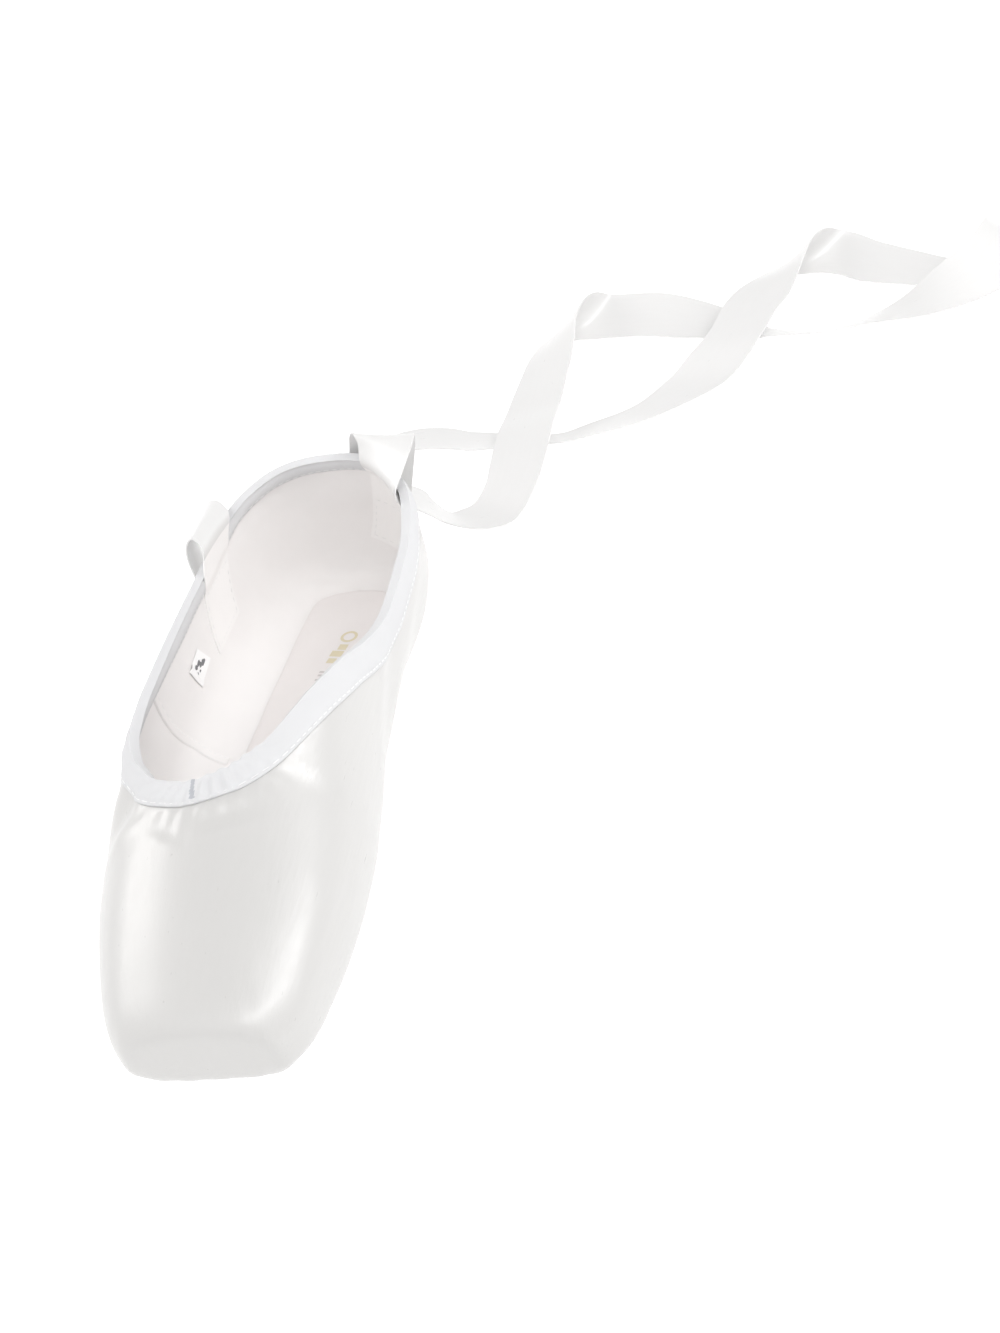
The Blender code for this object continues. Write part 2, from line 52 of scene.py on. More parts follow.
def make_camera():
    """Looks down from beyond the toe, rolled so that the shoe leans to the left."""
    back = Vector((math.sin(CAMERA_AZIMUTH) * math.cos(CAMERA_ELEVATION),
                   -math.cos(CAMERA_AZIMUTH) * math.cos(CAMERA_ELEVATION),
                   math.sin(CAMERA_ELEVATION)))
    side = Vector((math.cos(CAMERA_AZIMUTH), math.sin(CAMERA_AZIMUTH), 0.0))
    up = back.cross(side)
    right = side * math.cos(CAMERA_ROLL) - up * math.sin(CAMERA_ROLL)
    above = side * math.sin(CAMERA_ROLL) + up * math.cos(CAMERA_ROLL)
    data = bpy.data.cameras.new("camera")
    data.sensor_fit = "AUTO"
    data.sensor_width = 36.0
    data.lens = CAMERA_LENS
    data.clip_start = 0.01
    camera = bpy.data.objects.new("camera", data)
    camera.matrix_world = Matrix((
        (right.x, above.x, back.x, CAMERA_PLACE.x),
        (right.y, above.y, back.y, CAMERA_PLACE.y),
        (right.z, above.z, back.z, CAMERA_PLACE.z),
        (0.0, 0.0, 0.0, 1.0)))
    bpy.context.scene.collection.objects.link(camera)
    bpy.context.scene.camera = camera


# ---------------- driving sizes, mm
LENGTH = 236.0
QUARTER_WALL = 1.8
BOX_WALL = 2.8
BOX_START = 150.0
BOX_FULL = 185.0
GAP = 0.35
SOLE_THICKNESS = 2.3
SOLE_START = 5.0
SOLE_END = 209.0
SOLE_LAP = 6.0
INSOLE_START = 15.0
INSOLE_END = 212.0
INSOLE_THICKNESS = 2.0
INSOLE_EDGE = 0.9
INSOLE_CLEARANCE = 1.2
INSOLE_ROUNDING = 4.0
INSOLE_TIP = 0.25
THROAT_RUN = 165.5

# The form: one row for each cross-section, the shape of the shoe's outside.
Section = namedtuple("Section", "run half_width bottom top widest low_power up_power")
FORM = (
    Section(0.0, 0.0, 21.0, 21.0, 21.0, 2.4, 2.4),
    Section(1.6, 9.8, 10.5, 34.0, 21.0, 2.4, 2.4),
    Section(5.0, 17.5, 5.6, 52.0, 22.0, 2.6, 2.5),
    Section(12.0, 25.0, 3.2, 65.0, 27.0, 3.0, 2.5),
    Section(26.0, 31.0, 2.5, 74.0, 34.0, 3.4, 2.5),
    Section(48.0, 33.5, 2.6, 76.0, 36.0, 3.4, 2.5),
    Section(75.0, 33.5, 4.0, 74.0, 35.0, 3.4, 2.5),
    Section(105.0, 34.0, 4.1, 71.0, 27.0, 3.3, 2.4),
    Section(135.0, 36.0, 2.7, 62.0, 18.0, 3.2, 2.3),
    Section(160.0, 37.5, 2.4, 52.5, 16.5, 3.2, 2.0),
    Section(182.0, 36.4, 2.7, 45.5, 16.5, 3.5, 2.05),
    Section(204.0, 33.0, 4.0, 39.0, 16.5, 3.7, 2.15),
    Section(222.0, 28.8, 5.6, 32.7, 17.0, 3.8, 2.2),
    Section(231.0, 25.0, 7.0, 29.3, 17.5, 3.8, 2.2),
    Section(235.0, 21.8, 9.0, 26.8, 17.5, 3.8, 2.2),
    Section(236.0, 18.4, 11.2, 24.3, 17.5, 3.7, 2.2),
)

# Height of the collar edge along the run, up to the throat, where it meets the crest of the vamp.
CollarPoint = namedtuple("CollarPoint", "run height")
COLLAR = (
    CollarPoint(0.0, 54.5),
    CollarPoint(20.0, 48.6),
    CollarPoint(50.0, 43.4),
    CollarPoint(85.0, 44.8),
    CollarPoint(120.0, 47.7),
    CollarPoint(145.0, 48.5),
    CollarPoint(160.0, 49.3),
)
# How much higher or lower the edge stands on the +X side, with the blend from the other side.
COLLAR_LIFT = (
    CollarPoint(40.0, 0.0),
    CollarPoint(58.0, -2.0),
    CollarPoint(76.0, -3.6),
    CollarPoint(88.0, -2.7),
    CollarPoint(97.0, -1.0),
    CollarPoint(104.0, 0.6),
    CollarPoint(113.0, 2.9),
    CollarPoint(122.0, 4.0),
    CollarPoint(132.0, 4.6),
    CollarPoint(141.0, 4.3),
    CollarPoint(150.0, 3.0),
    CollarPoint(157.0, 2.3),
    CollarPoint(166.0, 0.9),
)
LIFT_BLEND = 12.0
LIFT_SHIFT = 0.6

# Half-width of the outsole, as a share of its length.
SolePoint = namedtuple("SolePoint", "share half_width")
OUTSOLE = (
    SolePoint(0.0, 5.0),
    SolePoint(0.03, 14.5),
    SolePoint(0.10, 20.5),
    SolePoint(0.20, 21.0),
    SolePoint(0.38, 17.0),
    SolePoint(0.52, 19.0),
    SolePoint(0.72, 27.0),
    SolePoint(0.86, 26.0),
    SolePoint(0.96, 20.0),
    SolePoint(1.0, 11.0),
)

# The ribbons: the place of the middle at each row, and the way that the width points from the
# left edge to the right one, as a heading in plan and a tilt up from level, in degrees. Here x
# and y are world directions. Each ribbon starts sewn inside a quarter, passes over the collar
# and lies on the floor.
RIBBON_WIDTH = 22.0
Lay = namedtuple("Lay", "x y z heading tilt")
LEFT_RIBBON = (
    Lay(-29.4, 67, 20, -93, 0),
    Lay(-28.6, 73, 40, -95, 0),
    Lay(-28.4, 78, 50.3, -97, 2),
    Lay(-32.6, 83, 52.8, -99, 2),
    Lay(-37.6, 86.5, 49, -97, -8),
    Lay(-41.6, 89.5, 40.5, -88, -16),
    Lay(-44.8, 95, 27.5, -78, -25),
    Lay(-45.5, 103, 15.5, -62, -34),
    Lay(-46, 117, 8, -25, -30),
    Lay(-44, 132, 4, -8, -10),
    Lay(-34, 148, 3.5, -38, 0),
    Lay(-19, 160, 3.5, -65, 0),
    Lay(-3, 164, 4, -88, 5),
    Lay(9, 159, 6, -98, 20),
    Lay(18, 150, 6, -82, 22),
    Lay(26, 143, 5.5, -75, 22),
    Lay(34, 143, 4, -58, 9),
    Lay(41, 148, 3, -40, 2),
    Lay(46, 157, 7, -24, 8),
    Lay(47.8, 170, 10.6, -7, 11),
    Lay(48, 189, 11, -3, 12),
    Lay(48.3, 208, 9, -3, 13),
    Lay(49.5, 239, 9.3, -9, 23),
    Lay(51.2, 258.5, 10, -20, 38),
    Lay(54, 268, 8.9, 6, 45),
    Lay(60.2, 273, 6.2, 55, 27),
    Lay(66, 274, 5, 70, 19),
    Lay(85, 272, 4.2, 75, 15),
    Lay(98, 267, 3.4, 71, 9),
    Lay(112, 258.5, 3.2, 69, -4),
    Lay(121, 251, 3.6, 78, -10),
    Lay(130, 245.7, 5, 88, -24),
    Lay(142, 241.5, 5.6, 95, -27),
    Lay(154, 240.8, 5.8, 96, -27),
    Lay(171, 246.3, 5.6, 97, -18),
    Lay(184.5, 253.8, 5.6, 106, -2),
    Lay(202.8, 264.2, 8.3, 130, 27),
    Lay(210.2, 274.3, 8.6, 138, 36),
    Lay(216, 289, 8.6, 140, 30),
    Lay(220, 306, 3.4, 146, 12),
)
RIGHT_RIBBON = (
    Lay(14.9, 108.2, 15.4, -38, -20),
    Lay(18.4, 106.7, 26, -41, -17),
    Lay(20.5, 101.2, 39.5, -47, -12),
    Lay(20.8, 97.8, 50, -51, -8),
    Lay(22.8, 102.2, 57, -40, -6),
    Lay(23.2, 107.3, 60.3, -20, -3),
    Lay(21.5, 112.5, 58.5, -6, -2),
    Lay(18.3, 117, 49, 2, 0),
    Lay(9.5, 122, 24, 4, 0),
    Lay(4.5, 130, 10, 2, 0),
    Lay(-1, 146, 3, 0, 0),
    Lay(-7, 162, 1.5, -4, 0),
    Lay(-11.5, 176, 1.8, -18, 0),
    Lay(-11.5, 189, 3, -48, 6),
    Lay(-4.5, 197.5, 4.4, -74, 11),
    Lay(6, 199, 4.6, -79, 11),
    Lay(17, 197.5, 4.4, -79, 12),
    Lay(28, 195, 3.5, -76, 14),
    Lay(56, 189, 4.5, -73, 21),
    Lay(68, 191, 4.5, -72, 20),
    Lay(89, 201, 4.5, -60, 14),
    Lay(104, 215, 5, -36, 3),
    Lay(111.2, 225.3, 6.8, -23, -1),
    Lay(118.3, 238.8, 9.5, -22, 5),
    Lay(122.4, 255.5, 9.8, -25, 1),
    Lay(127, 269, 9, -28, 3),
    Lay(135.2, 287.5, 9.9, -38, 31),
    Lay(139.3, 296.5, 9, -8, 45),
    Lay(146, 301.5, 6.3, 46, 27),
    Lay(151.5, 302, 5, 62, 18),
    Lay(158, 299, 4.4, 67, 14),
    Lay(165.5, 293.4, 3.6, 68, 11),
    Lay(180, 286, 2.6, 72, 3),
    Lay(195, 280.5, 1.5, 76, -2),
    Lay(212, 278, 0.9, 84, 0),
    Lay(232, 280, 1, 98, 2),
    Lay(248, 288, 2, 118, 5),
    Lay(258, 302, 2, 142, 5),
    Lay(262, 320, 1.2, 165, 1),
    Lay(262, 332, 0.8, 180, 0),
)


# ---------------- smooth tables
def slopes(xs, ys):
    """Slopes of a smooth curve through the points that never overshoots them."""
    steps = np.diff(ys) / np.diff(xs)
    result = np.zeros(len(xs))
    result[0] = steps[0]
    result[-1] = steps[-1]
    for i in range(1, len(xs) - 1):
        if steps[i - 1] * steps[i] > 0:
            result[i] = 2 * steps[i - 1] * steps[i] / (steps[i - 1] + steps[i])
    return result


def curve(xs, ys, at):
    """Value of the smooth curve at each place in `at`."""
    xs = np.asarray(xs, float)
    ys = np.asarray(ys, float)
    at = np.clip(at, xs[0], xs[-1])
    tangents = slopes(xs, ys)
    i = np.clip(np.searchsorted(xs, at, side="right") - 1, 0, len(xs) - 2)
    width = xs[i + 1] - xs[i]
    t = (at - xs[i]) / width
    start = (1 + 2 * t) * (1 - t) ** 2 * ys[i] + t * (1 - t) ** 2 * width * tangents[i]
    end = t * t * (3 - 2 * t) * ys[i + 1] + t * t * (t - 1) * width * tangents[i + 1]
    return start + end


def table(rows, at):
    """Value of the smooth curve through two-column rows at each place in `at`."""
    return curve(*zip(*rows), at)


def turn(run):
    """The run as an angle from 0 at the heel to pi at the toe, which rounds both ends."""
    return np.arccos(np.clip(1 - 2 * np.asarray(run, float) / LENGTH, -1, 1))


def column(rows, name):
    return [getattr(row, name) for row in rows]


FINE_STEPS = 4000
FINE_TURNS = np.linspace(0, math.pi, FINE_STEPS)
FINE_FORM = {
    name: curve(turn(column(FORM, "run")), column(FORM, name), FINE_TURNS)
    for name in Section._fields
}


def form_value(name, run):
    """One column of the form's table at each run."""
    return np.interp(turn(run), FINE_TURNS, FINE_FORM[name])


def ease(value):
    """0 below 0, 1 above 1, smooth between."""
    value = np.clip(value, 0, 1)
    return value * value * (3 - 2 * value)


def side_of(values, low, high):
    """0 below low, 1 above high, smooth between."""
    return ease((np.asarray(values, float) - low) / (high - low))


def bell(distance, spread):
    """1 at no distance, falling smoothly to 0 past the spread."""
    return np.exp(-(distance / spread) ** 2)


def unit(vectors):
    return vectors / np.linalg.norm(vectors, axis=-1, keepdims=True)


def travelled(line):
    """Distance of each point from the line's start."""
    return np.concatenate([[0], np.cumsum(np.linalg.norm(np.diff(line, axis=0), axis=1))])


def between(at, places, rows):
    """The rows' values at places between them."""
    return np.stack([np.interp(at, places, rows[:, k]) for k in range(rows.shape[1])], -1)


def spline(padded, i, t):
    """Smooth curve from row i to i + 1 of rows that have one more before the first."""
    before, start, end, after = (padded[i + k] for k in range(4))
    return (start + t * (end - before) / 2 + t * t * (before - 2.5 * start + 2 * end - after / 2)
            + t ** 3 * (1.5 * (start - end) + (after - before) / 2))


def through(points, at):
    """Smooth curve through the rows: row 0 at 0, row 1 at 1, and so on."""
    points = np.asarray(points, float)
    padded = np.concatenate([[2 * points[0] - points[1]], points, [2 * points[-1] - points[-2]]])
    i = np.clip(np.floor(at).astype(int), 0, len(points) - 2)
    return spline(padded, i, (at - i)[:, None])


def smooth_loop(lines, parts):
    """The closed set of lines with smooth new ones set between each two."""
    at = np.arange(len(lines) * parts) / parts
    i = np.floor(at).astype(int)
    return spline(np.concatenate([lines[-1:], lines, lines[:2]]), i, (at - i)[:, None, None])


# ---------------- the form
HEEL_SWING = 2.8
TOE_SWING = 8.4
HEEL_SWING_END = 150.0
TOE_SWING_START = 120.0
SWING_SHIFT = -1.1
# The vamp's lean: its size, where it starts, its full length and its fade at the toe, and the
# height that it starts from and grows over.
CREST_SHIFT = -3.2
CREST_START = 110.0
CREST_GROWTH = 50.0
CREST_FADE = 40.0
CREST_LOW = 17.0
CREST_RISE = 35.0


def centre(run):
    """Sideways place of the shoe's middle line."""
    heel = HEEL_SWING * np.clip((HEEL_SWING_END - run) / HEEL_SWING_END, 0, 1) ** 2
    toe = TOE_SWING * np.clip((run - TOE_SWING_START) / (LENGTH - TOE_SWING_START), 0, 1) ** 2
    return heel + toe + SWING_SHIFT


def crest(run, height):
    """Sideways lean of the vamp towards -X, most at the throat."""
    along = np.clip((run - CREST_START) / CREST_GROWTH, 0, 1)
    along = along * np.clip((LENGTH - run) / CREST_FADE, 0, 1)
    up = np.clip((height - CREST_LOW) / CREST_RISE, 0, 1.3) ** 1.5
    return CREST_SHIFT * along * up


def outside(x, run, z):
    """True where a point lies outside the form."""
    widest = form_value("widest", run)
    above = z >= widest
    reach = np.where(above, form_value("top", run) - widest, widest - form_value("bottom", run))
    power = np.where(above, form_value("up_power", run), form_value("low_power", run))
    side = np.abs(x - centre(run) - crest(run, z)) / np.maximum(form_value("half_width", run), 1e-6)
    rise = np.abs(z - widest) / np.maximum(reach, 1e-6)
    beyond = (run < 0) | (run > LENGTH)
    return beyond | (np.minimum(side, 9) ** power + np.minimum(rise, 9) ** power > 1)


def underside(x, run):
    """Height of the form's lower surface."""
    widest = form_value("widest", run)
    side = np.abs(x - centre(run)) / form_value("half_width", run)
    power = form_value("low_power", run)
    drop = np.clip(1 - np.clip(side, 0, 1) ** power, 0, 1) ** (1 / power)
    return widest - (widest - form_value("bottom", run)) * drop


def sole_half(run):
    """Half-width of the outsole, zero past its ends."""
    share = (run - SOLE_START) / (SOLE_END - SOLE_START)
    inside = (share >= 0) & (share <= 1)
    return np.where(inside, table(OUTSOLE, share), 0.0)


def open_below(x, run, z):
    """True over the opening that the outsole closes."""
    half = np.minimum(sole_half(run - SOLE_LAP), sole_half(run + SOLE_LAP)) - SOLE_LAP
    return (np.abs(x - centre(run)) < half) & (z < form_value("widest", run))


def collar_height(x, run):
    """Height of the collar edge, rising to the crest at the throat."""
    edge = COLLAR + (CollarPoint(THROAT_RUN, float(form_value("top", THROAT_RUN))),)
    blend = ease((x - centre(run)) / LIFT_BLEND + LIFT_SHIFT)
    return np.where(run > THROAT_RUN, np.inf, table(edge, run) + table(COLLAR_LIFT, run) * blend)


# ---------------- columns over the form
HEEL_AXIS = 30.0
TOE_AXIS = 150.0
SPINE_HEIGHT = 21.0
SIDE_COLUMNS = 13
HEEL_COLUMNS = 9
TOE_HEADINGS = (0.0, 4.5, 9.0, 12.5, 15.0, 18.5, 24.0, 31.0, 40.0, 51.0, 63.0, 76.0)
LOOK_STEPS = 160
HALVINGS = 30
FARTHEST = 140.0


def headings():
    """Axis run and heading of each column, once round from the toe over the +X side."""
    toe = [(TOE_AXIS, heading) for heading in TOE_HEADINGS]
    side = [(TOE_AXIS + (HEEL_AXIS - TOE_AXIS) * i / SIDE_COLUMNS, 90.0) for i in range(SIDE_COLUMNS)]
    heel = [(HEEL_AXIS, 90.0 + 90.0 * i / HEEL_COLUMNS) for i in range(HEEL_COLUMNS + 1)]
    right = toe + side + heel
    left = [(run, -heading) for run, heading in reversed(right[1:-1])]
    return right + left


def last_before(near, far, past):
    """The last values before a test turns true between near and far, found by halving."""
    for _ in range(HALVINGS):
        middle = (near + far) / 2
        beyond = past(middle)
        far = np.where(beyond, middle, far)
        near = np.where(beyond, near, middle)
    return near


def reach(axis, heading, pitch):
    """Points where rays from the spine leave the form."""
    angle = np.radians(heading)
    level = np.cos(pitch)
    way = np.stack([np.sin(angle) * level, np.cos(angle) * level, np.sin(pitch)])
    start = np.array([centre(axis), axis, SPINE_HEIGHT])[:, None]
    distance = last_before(np.zeros_like(pitch), np.full_like(pitch, FARTHEST),
                           lambda middle: outside(*(start + way * middle)))
    return (start + way * distance).T


def first_true(axis, heading, test, sign):
    """Pitch at which a column first meets its edge, looking up (+1) or down (-1)."""
    pitches = sign * np.linspace(0, math.pi / 2, LOOK_STEPS)
    k = int(np.argmax(test(reach(axis, heading, pitches))))
    return last_before(pitches[k - 1:k], pitches[k:k + 1],
                       lambda pitch: test(reach(axis, heading, pitch)))[0]


def at_collar(points):
    return points[:, 2] >= collar_height(points[:, 0], points[:, 1])


def at_sole(points):
    return open_below(points[:, 0], points[:, 1], points[:, 2])


def form_lines():
    """Fine lines on the outer surface, each from the sole opening up to the collar."""
    lines = []
    for axis, heading in headings():
        low = first_true(axis, heading, at_sole, -1)
        high = first_true(axis, heading, at_collar, 1)
        lines.append(reach(axis, heading, np.linspace(low, high, LOOK_STEPS)))
    return lines


def to_world(points):
    """Run, side and height in millimetres to world metres."""
    points = np.asarray(points, float)
    return np.stack([points[..., 0], LENGTH / 2 - points[..., 1], points[..., 2]], -1) * MM


def grid_normals(world):
    """Outward normals of a grid that closes round its first index."""
    round_step = np.roll(world, -1, axis=0) - np.roll(world, 1, axis=0)
    return unit(np.cross(round_step, np.gradient(world, axis=1)))


def wall(run):
    return QUARTER_WALL + (BOX_WALL - QUARTER_WALL) * ease((run - BOX_START) / (BOX_FULL - BOX_START))


def inner_floor(x, run):
    """Height of the wall's inner surface underneath."""
    half = form_value("half_width", run)
    wider = centre(run) + (x - centre(run)) * half / (half - wall(run))
    return underside(wider, run) + wall(run)


def insole_half(run):
    """Half-width at which the insole's edge meets the wall."""
    level = inner_floor(centre(run), run) + INSOLE_THICKNESS - INSOLE_EDGE
    half = last_before(np.zeros_like(run), form_value("half_width", run) - wall(run),
                       lambda half: inner_floor(centre(run) + half, run) > level)
    from_end = np.minimum(run - INSOLE_START, INSOLE_END - run)
    short = 1 - np.clip(from_end / INSOLE_ROUNDING, 0, 1)
    return (half - INSOLE_CLEARANCE) * np.maximum(np.sqrt(1 - short ** 2), INSOLE_TIP)


# ---------------- materials
def wire(tree, made, **inputs):
    """Sets a node's inputs by name: another node's output is linked, and a number is set."""
    for name, value in inputs.items():
        entry = made.inputs[name.replace("_", " ")]
        if isinstance(value, bpy.types.NodeSocket):
            tree.links.new(value, entry)
        else:
            entry.default_value = value
    return made


def node(tree, kind, **inputs):
    return wire(tree, tree.nodes.new(kind), **inputs)


def coloured(name, colour, roughness):
    """A Principled material, its node tree and its shader."""
    material = bpy.data.materials.new(name)
    material.use_nodes = True
    tree = material.node_tree
    shader = wire(tree, tree.nodes["Principled BSDF"], Base_Color=(*colour, 1.0), Roughness=roughness)
    return material, tree, shader


def plain(name, colour, roughness, metallic=0.0):
    """A material of one even colour."""
    material, tree, shader = coloured(name, colour, roughness)
    wire(tree, shader, Metallic=metallic)
    return material


def place(tree, scale, source="UV"):
    """Texture coordinates, stretched by a scale along each way."""
    coordinates = node(tree, "ShaderNodeTexCoord").outputs[source]
    return node(tree, "ShaderNodeMapping", Vector=coordinates, Scale=scale).outputs["Vector"]


def noise(tree, vector, detail, scale=1.0):
    texture = node(tree, "ShaderNodeTexNoise", Vector=vector, Detail=detail, Scale=scale)
    return texture.outputs["Fac"]


def bumped(tree, height, distance, strength, **under):
    """The normal of a surface raised by a height, in metres, over an earlier normal."""
    bump = node(tree, "ShaderNodeBump", Height=height, Distance=distance, Strength=strength, **under)
    return bump.outputs["Normal"]


def mottled(tree, colour, amount, grain):
    """The colour, a little lighter and darker from place to place."""
    mix = node(tree, "ShaderNodeMix")
    mix.data_type = "RGBA"
    wire(tree, mix, Factor=grain, A=(*[c * (1 - amount) for c in colour], 1.0),
         B=(*[min(1.0, c * (1 + amount)) for c in colour], 1.0))
    return mix.outputs["Result"]


# Threads per metre, and reliefs in metres.
SATIN_THREADS = 5200.0
THREAD_RELIEF = 0.00006
STREAK_RELIEF = 0.00025
NAP_RELIEF = 0.00015


def satin(name, colour, roughness, streaks, source="UV"):
    """Glossy satin: long soft streaks along the floats over a very fine weave."""
    material, tree, shader = coloured(name, colour, roughness)
    fine = place(tree, (SATIN_THREADS, SATIN_THREADS * 0.25, SATIN_THREADS), source)
    long = place(tree, (streaks, streaks * 0.08, streaks), source)
    streak = noise(tree, long, 3.0)
    sheen = node(tree, "ShaderNodeMapRange", Value=streak, From_Min=0.25, From_Max=0.75,
                 To_Min=roughness - 0.05, To_Max=roughness + 0.06)
    relief = bumped(tree, streak, STREAK_RELIEF, 0.25)
    wire(tree, shader, Base_Color=mottled(tree, colour, 0.012, noise(tree, long, 3.0, 0.6)),
         Roughness=sheen.outputs["Result"],
         Normal=bumped(tree, noise(tree, fine, 2.0), THREAD_RELIEF, 0.35, Normal=relief),
         Specular_IOR_Level=0.8, Coat_Weight=0.18, Coat_Roughness=0.2)
    return material


def woven(name, colour, roughness, threads, relief):
    """Matte cotton with a plain weave."""
    material, tree, shader = coloured(name, colour, roughness)
    vector = place(tree, (threads, threads, threads))
    weave = node(tree, "ShaderNodeMath")
    weave.operation = "MULTIPLY"
    for entry, direction in zip(weave.inputs, ("X", "Y")):
        wave = node(tree, "ShaderNodeTexWave", Vector=vector, Scale=1.0, Distortion=0.6, Detail=1.0)
        wave.bands_direction = direction
        tree.links.new(wave.outputs["Fac"], entry)
    patches = noise(tree, place(tree, (90.0, 90.0, 90.0)), 3.0)
    wire(tree, shader, Base_Color=mottled(tree, colour, 0.02, patches), Specular_IOR_Level=0.3,
         Normal=bumped(tree, weave.outputs["Value"], relief, 0.35))
    return material


def leather(name, colour, roughness):
    """Buffed leather with a short nap."""
    material, tree, shader = coloured(name, colour, roughness)
    grain = noise(tree, place(tree, (1.0, 1.0, 1.0), "Object"), 3.0, 900.0)
    wire(tree, shader, Base_Color=mottled(tree, colour, 0.10, grain),
         Normal=bumped(tree, grain, NAP_RELIEF, 0.5))
    return material


# ---------------- meshes
def add_mesh(name, vertices, faces, materials, kinds=None, coordinates=None, sharp=50.0):
    """A smooth mesh object in metres, with a material index for each face and UVs for each vertex."""
    mesh = bpy.data.meshes.new(name)
    mesh.from_pydata(np.asarray(vertices, float).tolist(), [], faces)
    builder = bmesh.new()
    builder.from_mesh(mesh)
    bmesh.ops.recalc_face_normals(builder, faces=builder.faces)
    builder.to_mesh(mesh)
    builder.free()
    for material in materials:
        mesh.materials.append(material)
    if kinds is not None:
        mesh.polygons.foreach_set("material_index", kinds)
    if coordinates is not None:
        layer = mesh.uv_layers.new(name="flat")
        loops = np.empty(len(mesh.loops), dtype=np.int32)
        mesh.loops.foreach_get("vertex_index", loops)
        layer.data.foreach_set("uv", np.asarray(coordinates, float)[loops].ravel())
    mesh.shade_smooth()
    mesh.set_sharp_from_angle(angle=math.radians(sharp))
    piece = bpy.data.objects.new(name, mesh)
    bpy.context.scene.collection.objects.link(piece)
    return piece


def settle(piece, slot_name, *nodes):
    """Puts a finished piece on the shoe in place of its CAD nodes."""
    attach(piece, "root")
    if nodes:
        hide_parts(*nodes)


def ring_faces(count, around, closed=True):
    """Faces between closed rings set one after another, round a loop if closed."""
    faces = []
    for i in range(count if closed else count - 1):
        j = (i + 1) % count
        for k in range(around):
            m = (k + 1) % around
            faces.append((i * around + k, j * around + k, j * around + m, i * around + m))
    return faces


def loop_coordinates(rings):
    """UVs in metres: along the loop at the middle of the rings, and round each ring."""
    count, around = rings.shape[:2]
    along = np.repeat(travelled(rings.mean(1))[:, None], around, 1)
    steps = np.linalg.norm(np.diff(rings, axis=1), axis=2)
    round_it = np.concatenate([np.zeros((count, 1)), np.cumsum(steps, axis=1)], axis=1)
    return np.stack([along, round_it], -1).reshape(-1, 2)


def slab_mesh(name, top, bottom, material):
    """A body between two grids of the same size, in metres, joined round their outline."""
    rows, across = top.shape[:2]
    under = rows * across
    faces = []
    for i in range(rows - 1):
        for k in range(across - 1):
            a = i * across + k
            quad = (a, a + 1, a + across + 1, a + across)
            faces.append(quad)
            faces.append(tuple(under + v for v in reversed(quad)))
    edge = list(range(across))
    edge += [i * across + across - 1 for i in range(1, rows)]
    edge += [(rows - 1) * across + k for k in range(across - 2, -1, -1)]
    edge += [i * across for i in range(rows - 2, 0, -1)]
    for a, b in zip(edge, edge[1:] + edge[:1]):
        faces.append((b, a, under + a, under + b))
    vertices = np.concatenate([top.reshape(-1, 3), bottom.reshape(-1, 3)])
    return add_mesh(name, vertices, faces, (material,), None, vertices[:, :2])


# A stitch is a short capsule of a few rings: their shares of its length and of its radius.
STITCH_RINGS = ((0.0, 0.35), (0.2, 1.0), (0.8, 1.0), (1.0, 0.35))
STITCH_SIDES = 6
STITCH_FLATNESS = 0.6


def make_stitches(name, slot_name, stitches, radius, thread):
    """Rows of rounded stitches, each given by its start, its end and the way up, in millimetres."""
    starts, ends, ups = (np.array(row, float) for row in zip(*stitches))
    span = ends - starts
    way = unit(span)
    up = unit(ups - (ups * way).sum(1, keepdims=True) * way)
    side = np.cross(way, up)
    vertices = []
    for share, size in STITCH_RINGS:
        for angle in np.arange(STITCH_SIDES) * math.tau / STITCH_SIDES:
            offset = side * math.cos(angle) + up * math.sin(angle) * STITCH_FLATNESS
            vertices.append(starts + span * share + offset * radius * size)
    one = ring_faces(len(STITCH_RINGS), STITCH_SIDES, False)
    last = len(vertices) - STITCH_SIDES
    one += [tuple(reversed(range(STITCH_SIDES))), tuple(range(last, last + STITCH_SIDES))]
    faces = [tuple(n * len(vertices) + v for v in face) for n in range(len(starts)) for face in one]
    points = np.stack(vertices, 1).reshape(-1, 3) * MM
    settle(add_mesh(name, points, faces, (thread,)), slot_name)


# ---------------- dense form and satin
COLUMN_PARTS = 4
OUTER_ROWS = 120
INNER_ROWS = 60


def by_distance(line, rows):
    """The line at equal distances, and the distance of each row from its start."""
    travel = travelled(line)
    at = np.linspace(0, travel[-1], rows)
    return between(at, travel, line), at


class Form:
    """The shoe's outer surface as a dense grid, in millimetres: columns round the collar, rows down.

    `along` is each column's place on the collar edge, which is `around` long and starts at the
    throat. `drop` is each point's distance down from that edge.
    """

    def __init__(self):
        fine = smooth_loop(np.array(form_lines()), COLUMN_PARTS)[:, ::-1]
        parts = [by_distance(line, OUTER_ROWS) for line in fine]
        grid = np.array([part[0] for part in parts])
        edge = grid[:, 0]
        steps = np.linalg.norm(np.roll(edge, -1, axis=0) - edge, axis=1)
        self.drop = np.array([part[1] for part in parts])
        self.along = np.concatenate([[0], np.cumsum(steps)[:-1]])
        self.around = steps.sum()
        self.from_throat = np.minimum(self.along, self.around - self.along)
        self.points = to_world(grid) / MM
        self.normals = -grid_normals(self.points)


form = Form()

# The casing's width at the throat and at the sides, and the stretch over which it widens.
CASING_FRONT = 7.4
CASING_SIDE = 9.6
CASING_WIDENS = (20.0, 70.0)


def casing_width(from_throat):
    return CASING_FRONT + (CASING_SIDE - CASING_FRONT) * side_of(from_throat, *CASING_WIDENS)


